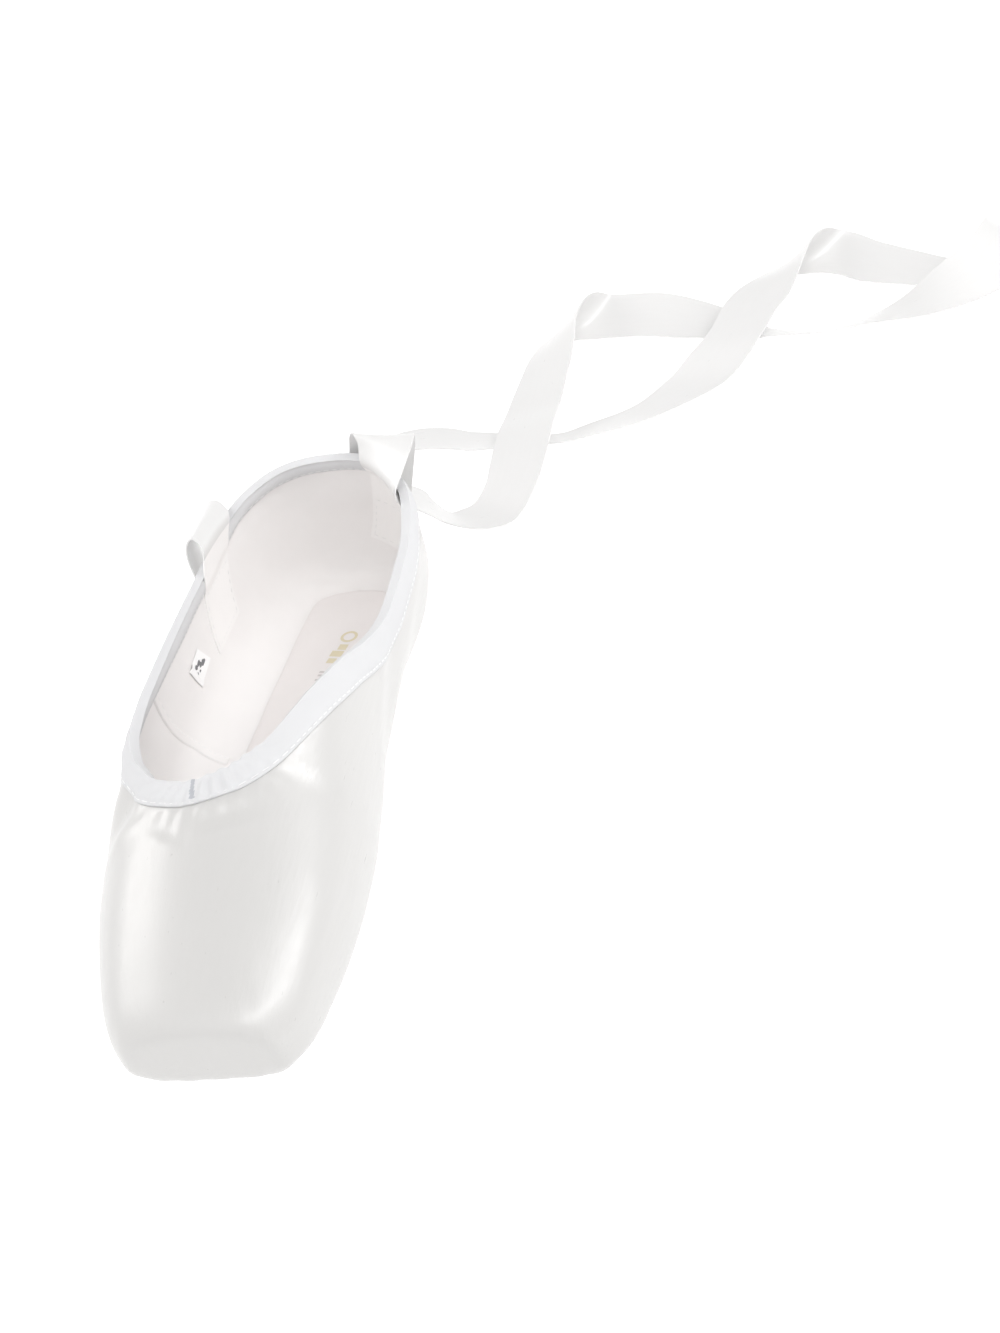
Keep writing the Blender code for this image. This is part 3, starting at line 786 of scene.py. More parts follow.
# Soft creases: where they are, the way that they run, their size and how far they go in.
Crease = namedtuple("Crease", "x y z way_x way_y way_z length width depth")
CREASES = (
    Crease(-29.0, -46.0, 43.0, 0.6, 0.5, 0.6, 12.0, 5.0, 2.2),
    Crease(-22.0, -51.0, 45.0, 0.9, 0.3, 0.2, 9.0, 3.0, 0.8),
    Crease(5.0, -58.0, 47.0, 0.9, 0.4, -0.1, 8.0, 2.6, 0.5),
    Crease(-10.0, -60.0, 47.0, 0.8, -0.5, 0.0, 7.0, 2.6, 0.45),
    Crease(31.0, -30.0, 38.0, 0.3, 0.8, -0.5, 16.0, 6.0, 0.25),
    Crease(34.5, 20.0, 24.0, 0.0, 0.9, 0.4, 24.0, 5.0, 0.7),
    Crease(33.0, 60.0, 18.0, 0.0, 0.9, 0.3, 22.0, 5.0, 0.6),
    Crease(-34.5, 25.0, 22.0, 0.0, 0.9, 0.4, 26.0, 5.0, 0.7),
    Crease(-31.0, 70.0, 20.0, 0.0, 0.9, -0.3, 20.0, 5.0, 0.6),
    Crease(20.0, 104.0, 16.0, 0.7, -0.7, 0.0, 14.0, 3.5, 0.5),
)
# The low ridge on both sides of a crease: its height, place and spread, as shares of the crease.
RIDGE_HEIGHT = 0.35
RIDGE_AT = 1.7
RIDGE_SPREAD = 0.4


def creased(points):
    """How far each point goes in, in millimetres."""
    depth = np.zeros(points.shape[:-1])
    for crease in CREASES:
        offset = points - np.array([crease.x, crease.y, crease.z])
        along = offset @ unit(np.array([crease.way_x, crease.way_y, crease.way_z]))
        across = np.sqrt(np.maximum((offset ** 2).sum(-1) - along ** 2, 0)) / crease.width
        along = along / crease.length
        ridge = RIDGE_HEIGHT * np.exp(-((across - RIDGE_AT) ** 2) / RIDGE_SPREAD - along ** 2)
        depth += crease.depth * (np.exp(-(along ** 2 + across ** 2)) - ridge)
    return depth


def ripple(along, period, seed):
    """An uneven wave from -1 to 1 along the collar, the same at both ends of the loop."""
    angle = math.tau * np.asarray(along) / form.around
    wobble = 1.5 * np.sin(angle * 5 + seed) + 0.9 * np.sin(angle * 13 + 2 * seed)
    swell = 0.65 + 0.35 * np.sin(angle * 9 + 3 * seed)
    return swell * np.sin(angle * round(form.around / period) + wobble)


# Puckers below the casing: period, height everywhere and what the throat adds, how far they
# reach, and the dip at the casing's seam.
PUCKER_PERIOD = 3.4
PUCKER_HEIGHT = 0.05
THROAT_PUCKER = 0.24
THROAT_REACH = 38.0
PUCKER_DROP = 5.0
PUCKER_START = (0.0, 2.5)
SEAM_DIP = 0.1
SEAM_REACH = 1.6


def puckers():
    """Puckers of the satin along the casing, above a faint dip at its seam."""
    drop = form.drop - casing_width(form.from_throat)[:, None]
    below = np.maximum(drop, 0)
    height = PUCKER_HEIGHT + THROAT_PUCKER * bell(form.from_throat, THROAT_REACH)
    wave = (ripple(form.along, PUCKER_PERIOD, 0.4) * height)[:, None] * np.exp(-below / PUCKER_DROP)
    dip = SEAM_DIP * (1 - side_of(np.abs(drop + 1.0), 0.0, SEAM_REACH))
    return wave * side_of(below, *PUCKER_START) - dip


# Pleats under the toe: a fan round a middle, from a run to the toe and below a height.
PLEATS = 15
PLEAT_DEPTH = 0.8
PLEAT_MIDDLE = (5.0, -78.0)
PLEAT_RUN = (86.0, 98.0)
PLEAT_RADIUS = (8.0, 16.0)
PLEAT_TOP = (6.0, 11.0)


def pleats():
    x, y, z = (form.points[..., k] for k in range(3))
    angle = np.arctan2(x - PLEAT_MIDDLE[0], PLEAT_MIDDLE[1] - y)
    radius = np.hypot(x - PLEAT_MIDDLE[0], y - PLEAT_MIDDLE[1])
    folds = np.abs(np.sin(angle * PLEATS)) ** 0.7 - 0.6
    toe = side_of(-y, *PLEAT_RUN) * side_of(radius, *PLEAT_RADIUS)
    return PLEAT_DEPTH * folds * toe * (1 - side_of(z, *PLEAT_TOP))


HEEL_SEAM_X = 1.6
HEEL_SEAM_DEPTH = 0.22
HEEL_SEAM_SPREAD = 0.35
HEEL_SEAM_START = (95.0, 105.0)


def heel_seam():
    """How far the seam up the heel goes in."""
    across = np.exp(-(form.points[..., 0] - HEEL_SEAM_X) ** 2 / HEEL_SEAM_SPREAD)
    return HEEL_SEAM_DEPTH * across * side_of(form.points[..., 1], *HEEL_SEAM_START)


def make_upper(satin_cloth, lining):
    """The satin outside and the cotton lining inside, one closed skin."""
    relief = puckers() + pleats() - heel_seam() - creased(form.points)
    outer = form.points + form.normals * relief[..., None]
    rows = np.linspace(0, OUTER_ROWS - 1, INNER_ROWS).round().astype(int)[::-1]
    inner = (form.points - form.normals * lining_depths()[..., None])[:, rows]
    rings = np.concatenate([outer, inner], axis=1) * MM
    around = rings.shape[1]
    kinds = np.tile([0 if k < OUTER_ROWS - 1 else 1 for k in range(around)], len(rings))
    piece = add_mesh("satin_upper", rings.reshape(-1, 3), ring_faces(len(rings), around),
                     (satin_cloth, lining), kinds, loop_coordinates(rings))
    settle(piece, "satin", "upper")


# ---------------- lining
# Soft lumps of the lining: middle, radius and height inwards.
Lump = namedtuple("Lump", "x y z radius height")
LUMPS = (
    Lump(-25.0, -34.0, 37.0, 5.0, 2.2),
    Lump(-14.0, -42.0, 41.0, 4.5, 1.7),
    Lump(-1.0, -45.0, 42.5, 4.0, 1.4),
    Lump(8.0, -43.0, 42.0, 3.0, 1.0),
    Lump(-31.0, -18.0, 26.0, 7.0, 0.6),
    Lump(-32.0, 30.0, 20.0, 12.0, 0.5),
    Lump(-32.0, 55.0, 34.0, 14.0, 0.5),
    Lump(-22.0, 98.0, 30.0, 12.0, 0.5),
    Lump(12.0, 110.0, 24.0, 10.0, 0.5),
)
LINING_SWELL = 0.12
LINING_PERIOD = 27.0


def lining_relief(points):
    height = np.zeros(points.shape[:-1])
    for lump in LUMPS:
        offset = points - np.array([lump.x, lump.y, lump.z])
        height += lump.height * np.exp(-(offset ** 2).sum(-1) / lump.radius ** 2)
    return height


def lining_depths():
    """How far the lining lies behind each point of the form."""
    down = np.sin(math.pi * np.arange(OUTER_ROWS) / OUTER_ROWS)
    swell = LINING_SWELL * ripple(form.along, LINING_PERIOD, 1.1)[:, None] * down
    return wall(LENGTH / 2 - form.points[..., 1]) + swell - lining_relief(form.points)


def nearest(point):
    """Column and row of the form's grid nearest to a point."""
    distance = ((form.points - point) ** 2).sum(-1)
    return np.unravel_index(distance.argmin(), distance.shape)


def on_lining(point, lift):
    """A point moved along the wall's own way to the lining, and lifted off it by a height."""
    near = nearest(point)
    surface = form.points[near]
    way = form.normals[near]
    depth = wall(LENGTH / 2 - surface[1]) - lining_relief(surface)
    return point - way * ((point - surface) @ way + depth + lift)


SEAM_PATH = ((-30.6, 3.5, 46.0), (-31.0, 6.2, 40.5), (-33.2, 10.8, 27.6), (-32.7, 14.4, 20.0),
             (-31.0, 17.2, 14.5), (-26.8, 17.0, 9.9), (-22.1, 16.2, 7.7))
SEAM_ROWS = 80
# Half the tape's section: distance to the side and height.
TAPE_SIDES = np.array([-1.9, -1.5, -0.7, 0.0, 0.7, 1.5, 1.9])
TAPE_HEIGHTS = np.array([-0.05, 0.25, 0.42, 0.30, 0.42, 0.25, -0.05])
TAPE_SUNK = 0.4
TAPE_STITCH_SIDE = 1.3
TAPE_STITCH_HEIGHT = 0.32
TAPE_STITCH_RADIUS = 0.12


def make_lining_seam(cloth, thread):
    """The taped seam across the lining at the left, with a stitch row on each side."""
    path = through(SEAM_PATH, np.linspace(0, len(SEAM_PATH) - 1, SEAM_ROWS))
    middle = np.array([on_lining(point, 0.0) for point in path])
    ways = np.array([on_lining(point, 1.0) for point in path]) - middle
    side = unit(np.cross(np.gradient(middle, axis=0), ways))
    flat = middle[:, None] + side[:, None] * TAPE_SIDES[None, :, None]
    top = flat + ways[:, None] * TAPE_HEIGHTS[None, :, None]
    settle(slab_mesh("lining_tape", top * MM, (flat - ways[:, None] * TAPE_SUNK) * MM, cloth), "lining")
    stitches = []
    for sign in (-1, 1):
        row = middle + side * sign * TAPE_STITCH_SIDE + ways * TAPE_STITCH_HEIGHT
        stitches += [(row[i], row[i + 2], ways[i]) for i in range(2, SEAM_ROWS - 4, 4)]
    make_stitches("tape_stitches", "lining", stitches, TAPE_STITCH_RADIUS, thread)


# ---------------- casing
OUTSIDE_POINTS = 17
INSIDE_POINTS = 12
# The two sides: depth on the lining, least height, and rest, step and puffs that add up to it.
CASING_LINING = 4.4
CASING_LEAST = 0.16
CASING_REST = 0.14
CASING_STEP = 0.12
CASING_PUFF = 0.85
INNER_PUFF = 0.75
INNER_GATHER = 0.6
# Gathers: strength everywhere, what the throat and the heel add within a reach, and two periods.
GATHER = 0.10
THROAT_GATHER = 0.42
THROAT_GATHER_REACH = 26.0
HEEL_GATHER = 0.10
HEEL_GATHER_REACH = 22.0
FINE_GATHER = 3.1
COARSE_GATHER = 5.3
# The groove that the outer stitches pull in: depth, and place and half-width as shares.
GROOVE_DEPTH = 0.28
GROOVE_AT = 0.15
GROOVE_HALF = 0.05
# The fold over the collar edge: how far out and up, its gathers, and how high its sides are as a
# share; then the hidden back: how deep it sinks into the wall and how near the edge it comes.
CROWN_OUT = 0.55
CROWN_UP = 0.95
CROWN_GATHER = 0.35
CROWN_PERIOD = 4.1
THROAT_CROWN_REACH = 24.0
CROWN_SHOULDER = 0.75
CASING_SUNK = 0.06
SUNK_TOP = 0.4
# The slit, which leans across the casing: place, lean, half-width and how flat it pulls it.
# The half-width is that of the dark band of painted shade which stands for its opening.
SLIT_AT = -3.2
SLIT_LEAN = 1.6
SLIT_HALF = 0.55
SLIT_DENT = 0.7
SLIT_FLAT = 0.72
SLIT_FIRST = 4


def from_slit(columns, share):
    """Distance along the collar from the slit."""
    return np.abs(form.along[columns] - form.around - SLIT_AT - SLIT_LEAN * (1 - share))


def down_from_edge(column_at, drops):
    """Points and outward ways at distances below the collar edge."""
    ways = between(drops, form.drop[column_at], form.normals[column_at])
    return between(drops, form.drop[column_at], form.points[column_at]), unit(ways)


def casing_gather(along, share):
    """Outward ripple of the casing: strong near the throat, faint along the sides and at the heel."""
    from_throat = min(along, form.around - along)
    strength = GATHER + THROAT_GATHER * bell(from_throat, THROAT_GATHER_REACH)
    strength += HEEL_GATHER * bell(from_throat - form.around / 2, HEEL_GATHER_REACH)
    fine = ripple(along, FINE_GATHER, 0.4) * np.sin(math.pi * share) ** 0.8
    coarse = 0.45 * ripple(along, COARSE_GATHER, 1.9) * np.sin(math.pi * share * 1.6) ** 2
    return strength * (fine + coarse)


def casing_swell(share):
    """The puffed profile of one side, from its sewn edge at 0 to the collar at 1."""
    return np.sin(math.pi * (0.12 + 0.80 * share)) ** 0.8


def casing_outside(column_at, width):
    """The outer side, from its sewn edge up to the collar."""
    share = np.linspace(0, 1, OUTSIDE_POINTS)
    offset = CASING_REST + CASING_STEP * side_of(share, 0.0, 0.06) + CASING_PUFF * casing_swell(share)
    offset -= GROOVE_DEPTH * bell(share - GROOVE_AT, GROOVE_HALF)
    offset += casing_gather(form.along[column_at], share)
    slit = bell(from_slit(column_at, share), SLIT_DENT)
    offset *= 1 - SLIT_FLAT * slit * side_of(share, 0.02, 0.12)
    points, ways = down_from_edge(column_at, width * (1 - share))
    return points + ways * (np.maximum(offset, CASING_LEAST) - creased(points))[:, None]


def casing_crown(column_at, lining):
    """The fold over the collar edge."""
    along = form.along[column_at]
    edge = form.points[column_at, 0]
    way = form.normals[column_at, 0]
    up = unit(edge - form.points[column_at, 1])
    near = 0.3 + bell(form.from_throat[column_at], THROAT_CROWN_REACH)
    rise = up * (CROWN_UP + CROWN_GATHER * ripple(along, CROWN_PERIOD, 2.2) * near)
    crown = edge - creased(form.points[column_at, :1])[0] * way
    slit = bell(from_slit(column_at, 1.0), SLIT_DENT)
    return np.array([crown + way * CROWN_OUT + rise * CROWN_SHOULDER,
                     crown - way * lining * 0.5 + rise * (1 - 0.5 * slit),
                     crown - way * (lining + CROWN_OUT) + rise * CROWN_SHOULDER])


def casing_inside(column_at, lining):
    """The inner side, from the collar down to its sewn edge on the lining."""
    share = np.linspace(0, 1, INSIDE_POINTS)
    offset = CASING_REST + INNER_PUFF * casing_swell(1 - share)
    offset += INNER_GATHER * casing_gather(form.along[column_at] + 1.3, share)
    points, ways = down_from_edge(column_at, CASING_LINING * share)
    depth = lining - lining_relief(points) + np.maximum(offset, CASING_LEAST)
    return points - ways * depth[:, None]


def casing_ring(column_at):
    """One cross-section of the casing, closed by its hidden back on the wall."""
    width = casing_width(form.from_throat[column_at])
    lining = wall(LENGTH / 2 - form.points[column_at, 0, 1])
    points, ways = down_from_edge(column_at, np.array([CASING_LINING, SUNK_TOP, SUNK_TOP, width]))
    sink = np.array([-lining - CASING_SUNK, -lining - CASING_SUNK, CASING_SUNK, CASING_SUNK])
    sink[2:] -= creased(points[2:])
    return np.concatenate([casing_outside(column_at, width), casing_crown(column_at, lining),
                           casing_inside(column_at, lining), points + ways * sink[:, None]])


def make_casing(cotton, dark):
    """The drawstring casing folded over the collar edge, with a slit at the throat: a dent, and a dark
    band of painted shade for its opening.
    """
    rings = np.array([casing_ring(column_at) for column_at in range(len(form.along))])
    around = rings.shape[1]
    kinds = np.zeros((len(rings), around), dtype=int)
    # Faces along the slit get the dark material: painted shade of the opening, which has no hole.
    share = np.linspace(0, 1, OUTSIDE_POINTS)[None, SLIT_FIRST:]
    slit = from_slit(np.arange(len(rings))[:, None], share) < SLIT_HALF
    kinds[:, SLIT_FIRST:OUTSIDE_POINTS] = slit
    piece = add_mesh("drawstring_casing", rings.reshape(-1, 3) * MM, ring_faces(len(rings), around),
                     (cotton, dark), kinds.ravel(), loop_coordinates(rings * MM), 70.0)
    settle(piece, "cotton", "collar_binding")
    return rings


def on_loop(rows, at):
    """The columns' rows at places along the collar, round the closed loop."""
    closed = np.concatenate([rows, rows[:1]])
    return between(at % form.around, np.append(form.along, form.around), closed)


STITCH_STEP = 2.7
STITCH_LENGTH = 1.8
STITCH_RADIUS = 0.16
STITCH_ROWS = (2, OUTSIDE_POINTS + INSIDE_POINTS)


def make_casing_stitches(rings, thread):
    """Two rows of stitches that hold the casing, outside and inside."""
    stitches = []
    at = np.arange(2.0, form.around - 2.0, STITCH_STEP)
    for row in STITCH_ROWS:
        line = rings[:, row]
        run = np.roll(line, -1, axis=0) - np.roll(line, 1, axis=0)
        up = unit(np.cross(run, rings[:, row - 1] - line))
        outward = np.sign(np.einsum("ij,ij->i", up, form.normals[:, 0]))
        up = up * outward[:, None] * (1 if row < OUTSIDE_POINTS else -1)
        lifted = line + up * STITCH_RADIUS * 0.4
        stitches += zip(on_loop(lifted, at), on_loop(lifted, at + STITCH_LENGTH), on_loop(up, at))
    make_stitches("casing_stitches", "cotton", stitches, STITCH_RADIUS, thread)


# ---------------- ribbons
RIBBON_FINE_STEP = 1.5
RIBBON_ACROSS = 17
RIBBON_HALF = 0.16
RIBBON_CURL = 0.35
TWIST = 0.18
TWIST_PERIOD = 9.0
WAVE = 0.12
WAVE_PERIOD = 5.2
SELVEDGE = 0.8
SELVEDGE_SWELL = 0.5
FLOOR_GAP = 0.06
# The sewn part: its height off the lining, what the casing adds, the blend into the free part,
# and where its stretch, its lighter satin (painted light against the shade inside the shoe) and
# its flatness end, all measured from the collar.
SEWN_LIFT = 0.12
CASING_LIFT = 0.85
SEWN_BLEND = 6.0
SEWN_END = 8.0
SEWN_LIGHTER_SATIN_END = -2.0
FLAT_END = (-4.0, 14.0)


def ribbon_frames(lays):
    """Middles of the ribbon's sections, their width directions and their normals."""
    heading = np.radians(column(lays, "heading"))
    tilt = np.radians(column(lays, "tilt"))
    level = np.cos(tilt)
    widths = np.stack([np.cos(heading) * level, np.sin(heading) * level, np.sin(tilt)], -1)
    middles = np.array([(lay.x, lay.y, lay.z) for lay in lays], float)
    fine = np.linspace(0, len(lays) - 1, 40 * len(lays))
    travel = travelled(through(middles, fine))
    steps = round(travel[-1] / RIBBON_FINE_STEP)
    at = np.interp(np.linspace(0, travel[-1], steps + 1), travel, fine)
    line = through(middles, at)
    across = unit(through(widths, at))
    return line, across, unit(np.cross(across, unit(np.gradient(line, axis=0))))


def sewn(middle, travel, reach_up):
    """The ribbon's first part laid flat on the lining and over the casing's inner side."""
    depths = lining_depths()
    count = int(np.searchsorted(travel, reach_up + SEWN_END))
    hold = 1 - side_of(travel, reach_up - SEWN_BLEND, reach_up + SEWN_BLEND)
    for i, k in np.ndindex(count, RIBBON_ACROSS):
        near = nearest(middle[i, k])
        way = form.normals[near]
        height = (form.points[near] - middle[i, k]) @ way - depths[near]
        on_casing = 1 - side_of(form.drop[near], CASING_LINING - 1.0, CASING_LINING + 1.0)
        middle[i, k] += way * ((height - SEWN_LIFT - CASING_LIFT * on_casing) * hold[i])
    return middle


def ribbon_sheet(lays, reach_up):
    """The ribbon's middle surface, its outward ways, its half-thickness and its travel."""
    line, across, normals = ribbon_frames(lays)
    share = np.linspace(-1, 1, RIBBON_ACROSS)
    travel = np.arange(len(line)) * RIBBON_FINE_STEP
    free = side_of(travel - reach_up, *FLAT_END)[:, None]
    twist = TWIST * np.sin(travel / TWIST_PERIOD)[:, None] * share
    wave = WAVE * np.sin(travel / WAVE_PERIOD + 1.0)[:, None]
    lift = (RIBBON_CURL * (share ** 2 - 0.4) + twist + wave) * free
    flat = line[:, None] + across[:, None] * (share * RIBBON_WIDTH / 2)[None, :, None]
    middle = sewn(flat + normals[:, None] * lift[..., None], travel, reach_up)
    outward = unit(np.cross(np.gradient(middle, axis=1), np.gradient(middle, axis=0)))
    selvedge = bell((1 - np.abs(share)) * RIBBON_WIDTH / 2, SELVEDGE)
    return middle, outward, RIBBON_HALF * (1 + SELVEDGE_SWELL * selvedge * free), travel


def make_ribbon(name, lays, cloths, reach_up):
    """A thin satin ribbon along its rows, with thicker selvedges and a slight curl; its sewn end has a
    lighter copy of the satin, painted light against the shade inside the shoe.
    """
    middle, outward, half, travel = ribbon_sheet(lays, reach_up)
    skin = outward * half[..., None]
    rings = np.concatenate([middle + skin, (middle - skin)[:, ::-1]], axis=1)
    rings[..., 2] = np.maximum(rings[..., 2], FLOOR_GAP)
    around = 2 * RIBBON_ACROSS
    faces = ring_faces(len(rings), around, False)
    for end in (0, (len(rings) - 1) * around):
        for k in range(RIBBON_ACROSS - 1):
            faces.append(tuple(end + v for v in (k, k + 1, around - 2 - k, around - 1 - k)))
    share = np.linspace(-1, 1, RIBBON_ACROSS)
    width = np.concatenate([share, share[::-1]]) * RIBBON_WIDTH / 2
    flat = np.stack(np.broadcast_arrays(width, travel[:, None]), -1).reshape(-1, 2)
    # Faces of the sewn end get the lighter satin: painted light that lifts the shade inside the shoe.
    kinds = [1 if travel[min(face) // around] < reach_up + SEWN_LIGHTER_SATIN_END else 0 for face in faces]
    piece = add_mesh(name, rings.reshape(-1, 3) * MM, faces, cloths, kinds, flat * MM, 60.0)
    settle(piece, "ribbon_satin", name)
    return middle, outward


SEWN_ROWS = 12
SEWN_INSET = 1
SEWN_STITCH_RADIUS = 0.10
INSIDE_SHOE = np.array([0.0, 40.0, 30.0])


def sewn_stitches(middle, outward):
    """Hand stitches that hold a ribbon's end to the lining: down both edges and across."""
    last = RIBBON_ACROSS - 1 - SEWN_INSET
    pairs = [((i, k), (i + 1, k)) for k in (SEWN_INSET, last) for i in range(1, SEWN_ROWS - 1, 2)]
    pairs += [((i, k), (i, k + 1)) for i in (1, SEWN_ROWS) for k in range(SEWN_INSET, last - 1, 2)]
    stitches = []
    for start, end in pairs:
        facing = np.sign(outward[start] @ (INSIDE_SHOE - middle[start]))
        lift = outward[start] * facing * (RIBBON_HALF + SEWN_LIFT)
        stitches.append((middle[start] + lift, middle[end] + lift, lift))
    return stitches


# ---------------- soles
SOLE_ROWS = 120
SOLE_ACROSS = 33
SOLE_EDGE = 0.9
SOLE_ROUND = 1.2
SOCK_EDGE = 0.5
SOCK_WAVE = 0.25
SOCK_PERIOD = 17.0


def sole_grid(start, end, half_at):
    """Sideways places, runs, side shares and distances from the edge of a grid over a sole."""
    share = (1 - np.cos(np.linspace(0, math.pi, SOLE_ROWS))) / 2
    run = start + (end - start) * share
    side = np.sin(np.linspace(-math.pi / 2, math.pi / 2, SOLE_ACROSS))
    half = half_at(run)[:, None]
    runs = np.repeat(run[:, None], SOLE_ACROSS, 1)
    inset = np.minimum(half * (1 - np.abs(side)), np.minimum(runs - start, end - runs))
    return centre(runs) + half * side, runs, side, inset


def sole_body(name, x, runs, top, bottom, material):
    return slab_mesh(name, to_world(np.stack([x, runs, top], -1)),
                     to_world(np.stack([x, runs, bottom], -1)), material)


def make_sole(buffed):
    """Thin leather sole with a softly rounded edge."""
    x, runs, _, inset = sole_grid(SOLE_START, SOLE_END, sole_half)
    top = underside(x, runs) - GAP
    bottom = np.maximum(top - SOLE_THICKNESS + SOLE_EDGE * np.exp(-inset / SOLE_ROUND), 0.0)
    settle(sole_body("leather_sole", x, runs, top, bottom, buffed), "sole_leather", "outsole")


def sock_level(run):
    """Height of the sock lining on its centre line, without its soft waves, and their height."""
    return inner_floor(centre(run), run) + GAP + INSOLE_THICKNESS, SOCK_WAVE * np.sin(run / SOCK_PERIOD)


def make_sock(cloth):
    """Inner sole with its sock lining: softly waved, with a rounded edge."""
    x, runs, side, inset = sole_grid(INSOLE_START, INSOLE_END, insole_half)
    floor = inner_floor(x, runs) + GAP + INSOLE_CLEARANCE / 4
    level, wave = sock_level(runs)
    top = level - SOCK_EDGE * np.exp(-inset) + wave * (1 - side ** 2)
    settle(sole_body("sock_lining", x, runs, top, floor, cloth), "lining", "insole")


# ---------------- marks inside
MARK_LIFT = 0.07
MARK_LEAN = math.radians(-12.0)
RING_X = 4.0
RING_Y = 77.0
RING_INNER = 1.9
RING_OUTER = 2.9
RING_STEPS = 28
# The mark's blocks: middle, half sizes, and 0 for gold or 1 for grey.
Block = namedtuple("Block", "x y half_x half_y kind")
BLOCKS = (
    Block(3.0, 71.6, 1.5, 1.4, 0),
    Block(1.6, 68.3, 2.1, 1.5, 0),
    Block(0.6, 64.6, 1.5, 1.3, 0),
    Block(-0.4, 58.4, 1.7, 0.5, 1),
    Block(-0.9, 56.6, 1.3, 0.5, 1),
    Block(-1.6, 54.2, 1.0, 0.5, 1),
)


def make_mark(gold, grey):
    """A plain mark on the sock lining: a gold ring and blocks, and short grey bars."""
    flat, faces = [], []
    for k in range(RING_STEPS):
        angle = math.tau * k / RING_STEPS
        for radius in (RING_INNER, RING_OUTER):
            flat.append((RING_X + radius * math.cos(angle), RING_Y + radius * math.sin(angle)))
        after = 2 * ((k + 1) % RING_STEPS)
        faces.append((2 * k, 2 * k + 1, after + 1, after))
    kinds = [0] * RING_STEPS + [block.kind for block in BLOCKS]
    cos, sin = math.cos(MARK_LEAN), math.sin(MARK_LEAN)
    for block in BLOCKS:
        faces.append(tuple(range(len(flat), len(flat) + 4)))
        for sign_x, sign_y in ((-1, -1), (1, -1), (1, 1), (-1, 1)):
            x, y = block.half_x * sign_x, block.half_y * sign_y
            flat.append((block.x + x * cos - y * sin, block.y + x * sin + y * cos))
    x, y = np.array(flat).T
    level, wave = sock_level(LENGTH / 2 - y)
    vertices = np.stack([x, y, level + wave + MARK_LIFT], -1) * MM
    piece = add_mesh("sock_mark", vertices, faces, (gold, grey), kinds, vertices[:, :2])
    settle(piece, "lining")


# The label's corners, and where its foot bends away from the lining.
LABEL_CORNERS = np.array([(-31.9, 44.3, 30.9), (-31.6, 49.7, 23.1),
                          (-31.4, 37.4, 21.4), (-32.3, 33.8, 29.7)])
LABEL_STEPS = 13
LABEL_THICKNESS = 0.12
LABEL_LIFT = 0.16
LABEL_BEND = 0.55
LABEL_BEND_AT = 0.82
LABEL_BEND_HALF = 0.10
PRINT_LIFT = 0.17
BLOT_SIDES = 16
# The blots of the label's plain dark print: middle and half sizes, as shares of the label.
Blot = namedtuple("Blot", "u v half_u half_v")
BLOTS = (
    Blot(0.62, 0.28, 0.11, 0.13),
    Blot(0.52, 0.42, 0.10, 0.10),
    Blot(0.36, 0.46, 0.09, 0.14),
    Blot(0.30, 0.66, 0.10, 0.09),
    Blot(0.62, 0.62, 0.05, 0.05),
    Blot(0.50, 0.78, 0.06, 0.05),
)


def label_point(u, v, lift):
    """A place on the label from its corners' shares, lifted off the lining; the label bends once."""
    near, low, far, high = LABEL_CORNERS
    flat = (near * (1 - u) + low * u) * (1 - v) + (high * (1 - u) + far * u) * v
    bend = LABEL_BEND * bell(v - LABEL_BEND_AT - 0.1 * u, LABEL_BEND_HALF)
    return on_lining(flat, LABEL_LIFT + bend + 0.12 * math.sin(5 * u) * v + lift)


def make_label(paper, ink):
    """A small label on the lining, with a plain dark print of blots."""
    share = np.linspace(0, 1, LABEL_STEPS)
    top, bottom = (np.array([[label_point(u, v, lift) for v in share] for u in share]) * MM
                   for lift in (LABEL_THICKNESS, 0.0))
    settle(slab_mesh("size_label", top, bottom, paper), "lining")
    vertices, faces = [], []
    for blot in BLOTS:
        middle = len(vertices)
        vertices.append(label_point(blot.u, blot.v, PRINT_LIFT))
        for k in range(BLOT_SIDES):
            angle = math.tau * k / BLOT_SIDES
            size = 1 + 0.16 * math.sin(3 * angle + 7 * blot.u)
            u = blot.u + blot.half_u * size * math.cos(angle)
            v = blot.v + blot.half_v * size * math.sin(angle)
            vertices.append(label_point(u, v, PRINT_LIFT))
            faces.append((middle, middle + 1 + k, middle + 1 + (k + 1) % BLOT_SIDES))
    settle(add_mesh("label_print", np.array(vertices) * MM, faces, (ink,)), "lining")


# ---------------- stage
WHITE = (1.0, 1.0, 1.0)
Light = namedtuple("Light", "name place target width height power colour")
WARM = (1.0, 0.985, 0.975)
SOFTBOX = Light("softbox left", (-0.80, 0.24, 0.62), (0.0, -0.07, 0.03), 0.40, 0.6, 2.4, WARM)
FILL = Light("fill", (-0.10, -0.40, 0.92), (0.0, 0.06, 0.02), 0.5, 0.5, 0.45, WHITE)
# A long narrow light at the right, which draws the bright streak along the shoe's side.
STRIP_LOW = Vector((0.80, 0.44, 0.42))
STRIP_HIGH = Vector((0.10, -0.34, 1.02))
STRIP = Light("strip right", (STRIP_LOW + STRIP_HIGH) / 2, (0.0, -0.05, 0.03), 0.04,
              (STRIP_HIGH - STRIP_LOW).length, 3.7, WHITE)
# The surround's brightness, which fades towards a way up and behind the shoe.
FADE_WAY = (0.0, 0.55, 0.83)
FADE_FROM = (0.45, 0.97)
FADE_TO = (1.04, 0.45)
FLOOR_SIZE = 6.0
FLOOR_DROP = 0.0005
FLOOR_GREY = 0.36
FLOOR_GLOW = 0.88


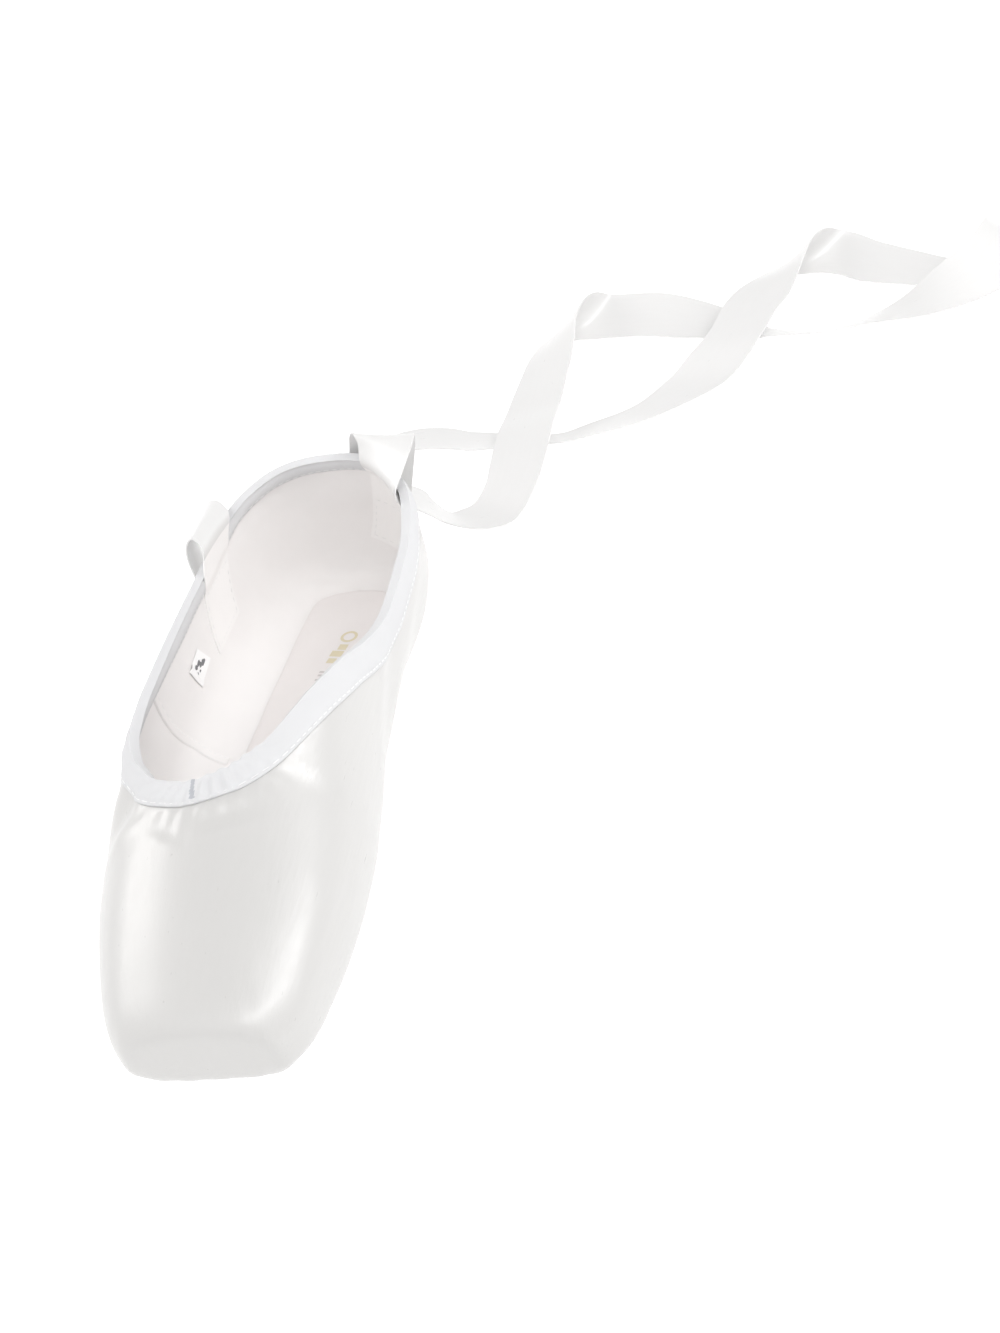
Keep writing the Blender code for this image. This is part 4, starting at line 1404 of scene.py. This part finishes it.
def area_light(light):
    """A soft rectangular light that faces its target."""
    data = bpy.data.lights.new(light.name, "AREA")
    data.shape = "RECTANGLE"
    data.size = light.width
    data.size_y = light.height
    data.energy = light.power
    data.color = light.colour
    lamp = bpy.data.objects.new(light.name, data)
    lamp.location = light.place
    way = Vector(light.target) - Vector(light.place)
    lamp.rotation_euler = way.to_track_quat("-Z", "Y").to_euler()
    bpy.context.scene.collection.objects.link(lamp)
    return lamp


def strip_light():
    """The strip, turned so that its long way runs from its low end to its high one."""
    lamp = area_light(STRIP)
    back = (Vector(STRIP.place) - Vector(STRIP.target)).normalized()
    long_way = STRIP_HIGH - STRIP_LOW
    long_way = (long_way - long_way.dot(back) * back).normalized()
    lamp.rotation_euler = Matrix((long_way.cross(back), long_way, back)).transposed().to_euler()


def make_surround():
    """A white world, dimmer behind and above the shoe, so that the satin shades off."""
    world = bpy.data.worlds.new("studio")
    world.use_nodes = True
    tree = world.node_tree
    toward = node(tree, "ShaderNodeVectorMath")
    toward.operation = "DOT_PRODUCT"
    toward.inputs[1].default_value = FADE_WAY
    tree.links.new(node(tree, "ShaderNodeTexCoord").outputs["Generated"], toward.inputs[0])
    fade = node(tree, "ShaderNodeMapRange", Value=toward.outputs["Value"], From_Min=FADE_FROM[0],
                From_Max=FADE_FROM[1], To_Min=FADE_TO[0], To_Max=FADE_TO[1])
    fade.interpolation_type = "SMOOTHSTEP"
    wire(tree, tree.nodes["Background"], Color=(*WHITE, 1.0), Strength=fade.outputs["Result"])
    bpy.context.scene.world = world


def make_floor():
    """A white floor that glows a little."""
    bpy.ops.mesh.primitive_plane_add(size=FLOOR_SIZE, location=(0.0, 0.0, -FLOOR_DROP))
    floor = bpy.context.object
    floor.name = "floor"
    paint, tree, shader = coloured("floor paint", (FLOOR_GREY, FLOOR_GREY, FLOOR_GREY), 0.9)
    wire(tree, shader, Emission_Color=(*WHITE, 1.0), Emission_Strength=FLOOR_GLOW)
    floor.data.materials.append(paint)


# ---------------- assembly
make_camera()
bpy.context.scene.view_settings.view_transform = "Standard"
make_surround()
make_floor()
area_light(SOFTBOX)
strip_light()
area_light(FILL).visible_glossy = False

satin_cloth = satin("white satin", (0.570, 0.562, 0.552), 0.32, 900.0, "Object")
# A lighter copy of the ribbon satin for the sewn ends inside the shoe: painted light against the shade
# there, with a duller gloss.
sewn_ribbon_painted_light = satin("ribbon satin painted lighter inside", (0.92, 0.905, 0.895), 0.45, 1100.0)
ribbon_cloth = satin("white ribbon satin", (0.735, 0.73, 0.725), 0.32, 1100.0)
cotton_cloth = woven("white cotton", (0.69, 0.69, 0.70), 0.9, 5200.0, 0.00012)
lining_cloth = woven("lining cotton", (0.90, 0.88, 0.872), 0.92, 3600.0, 0.00010)
sock_cloth = woven("sock cotton", (0.82, 0.785, 0.775), 0.85, 3600.0, 0.00006)
sole_leather = leather("sole leather", (0.60, 0.47, 0.36), 0.62)
thread = plain("white thread", (0.84, 0.84, 0.84), 0.6)
paper = plain("label paper", (0.97, 0.97, 0.97), 0.55)
gold = plain("gold mark", (0.72, 0.65, 0.47), 0.5, 0.15)
grey = plain("grey mark", (0.60, 0.57, 0.56), 0.7)
ink = plain("dark print", (0.20, 0.20, 0.21), 0.7)
# Painted shade: this dark colour on the casing's outer faces stands for the shaded opening of the slit.
dark = plain("painted shade of the slit", (0.44, 0.45, 0.48), 0.95)

# Each ribbon's name, its rows and how far along it passes over the collar, in millimetres.
RIBBONS = (("ribbon_left", LEFT_RIBBON, 32.0), ("ribbon_right", RIGHT_RIBBON, 37.0))
ribbon_stitches = []
for name, lays, reach_up in RIBBONS:
    ribbon_stitches += sewn_stitches(*make_ribbon(name, lays, (ribbon_cloth, sewn_ribbon_painted_light), reach_up))
make_stitches("ribbon_stitches", "ribbon_satin", ribbon_stitches, SEWN_STITCH_RADIUS, thread)
make_upper(satin_cloth, lining_cloth)
make_casing_stitches(make_casing(cotton_cloth, dark), thread)
make_sole(sole_leather)
make_sock(sock_cloth)
make_mark(gold, grey)
make_label(paper, ink)
make_lining_seam(lining_cloth, thread)
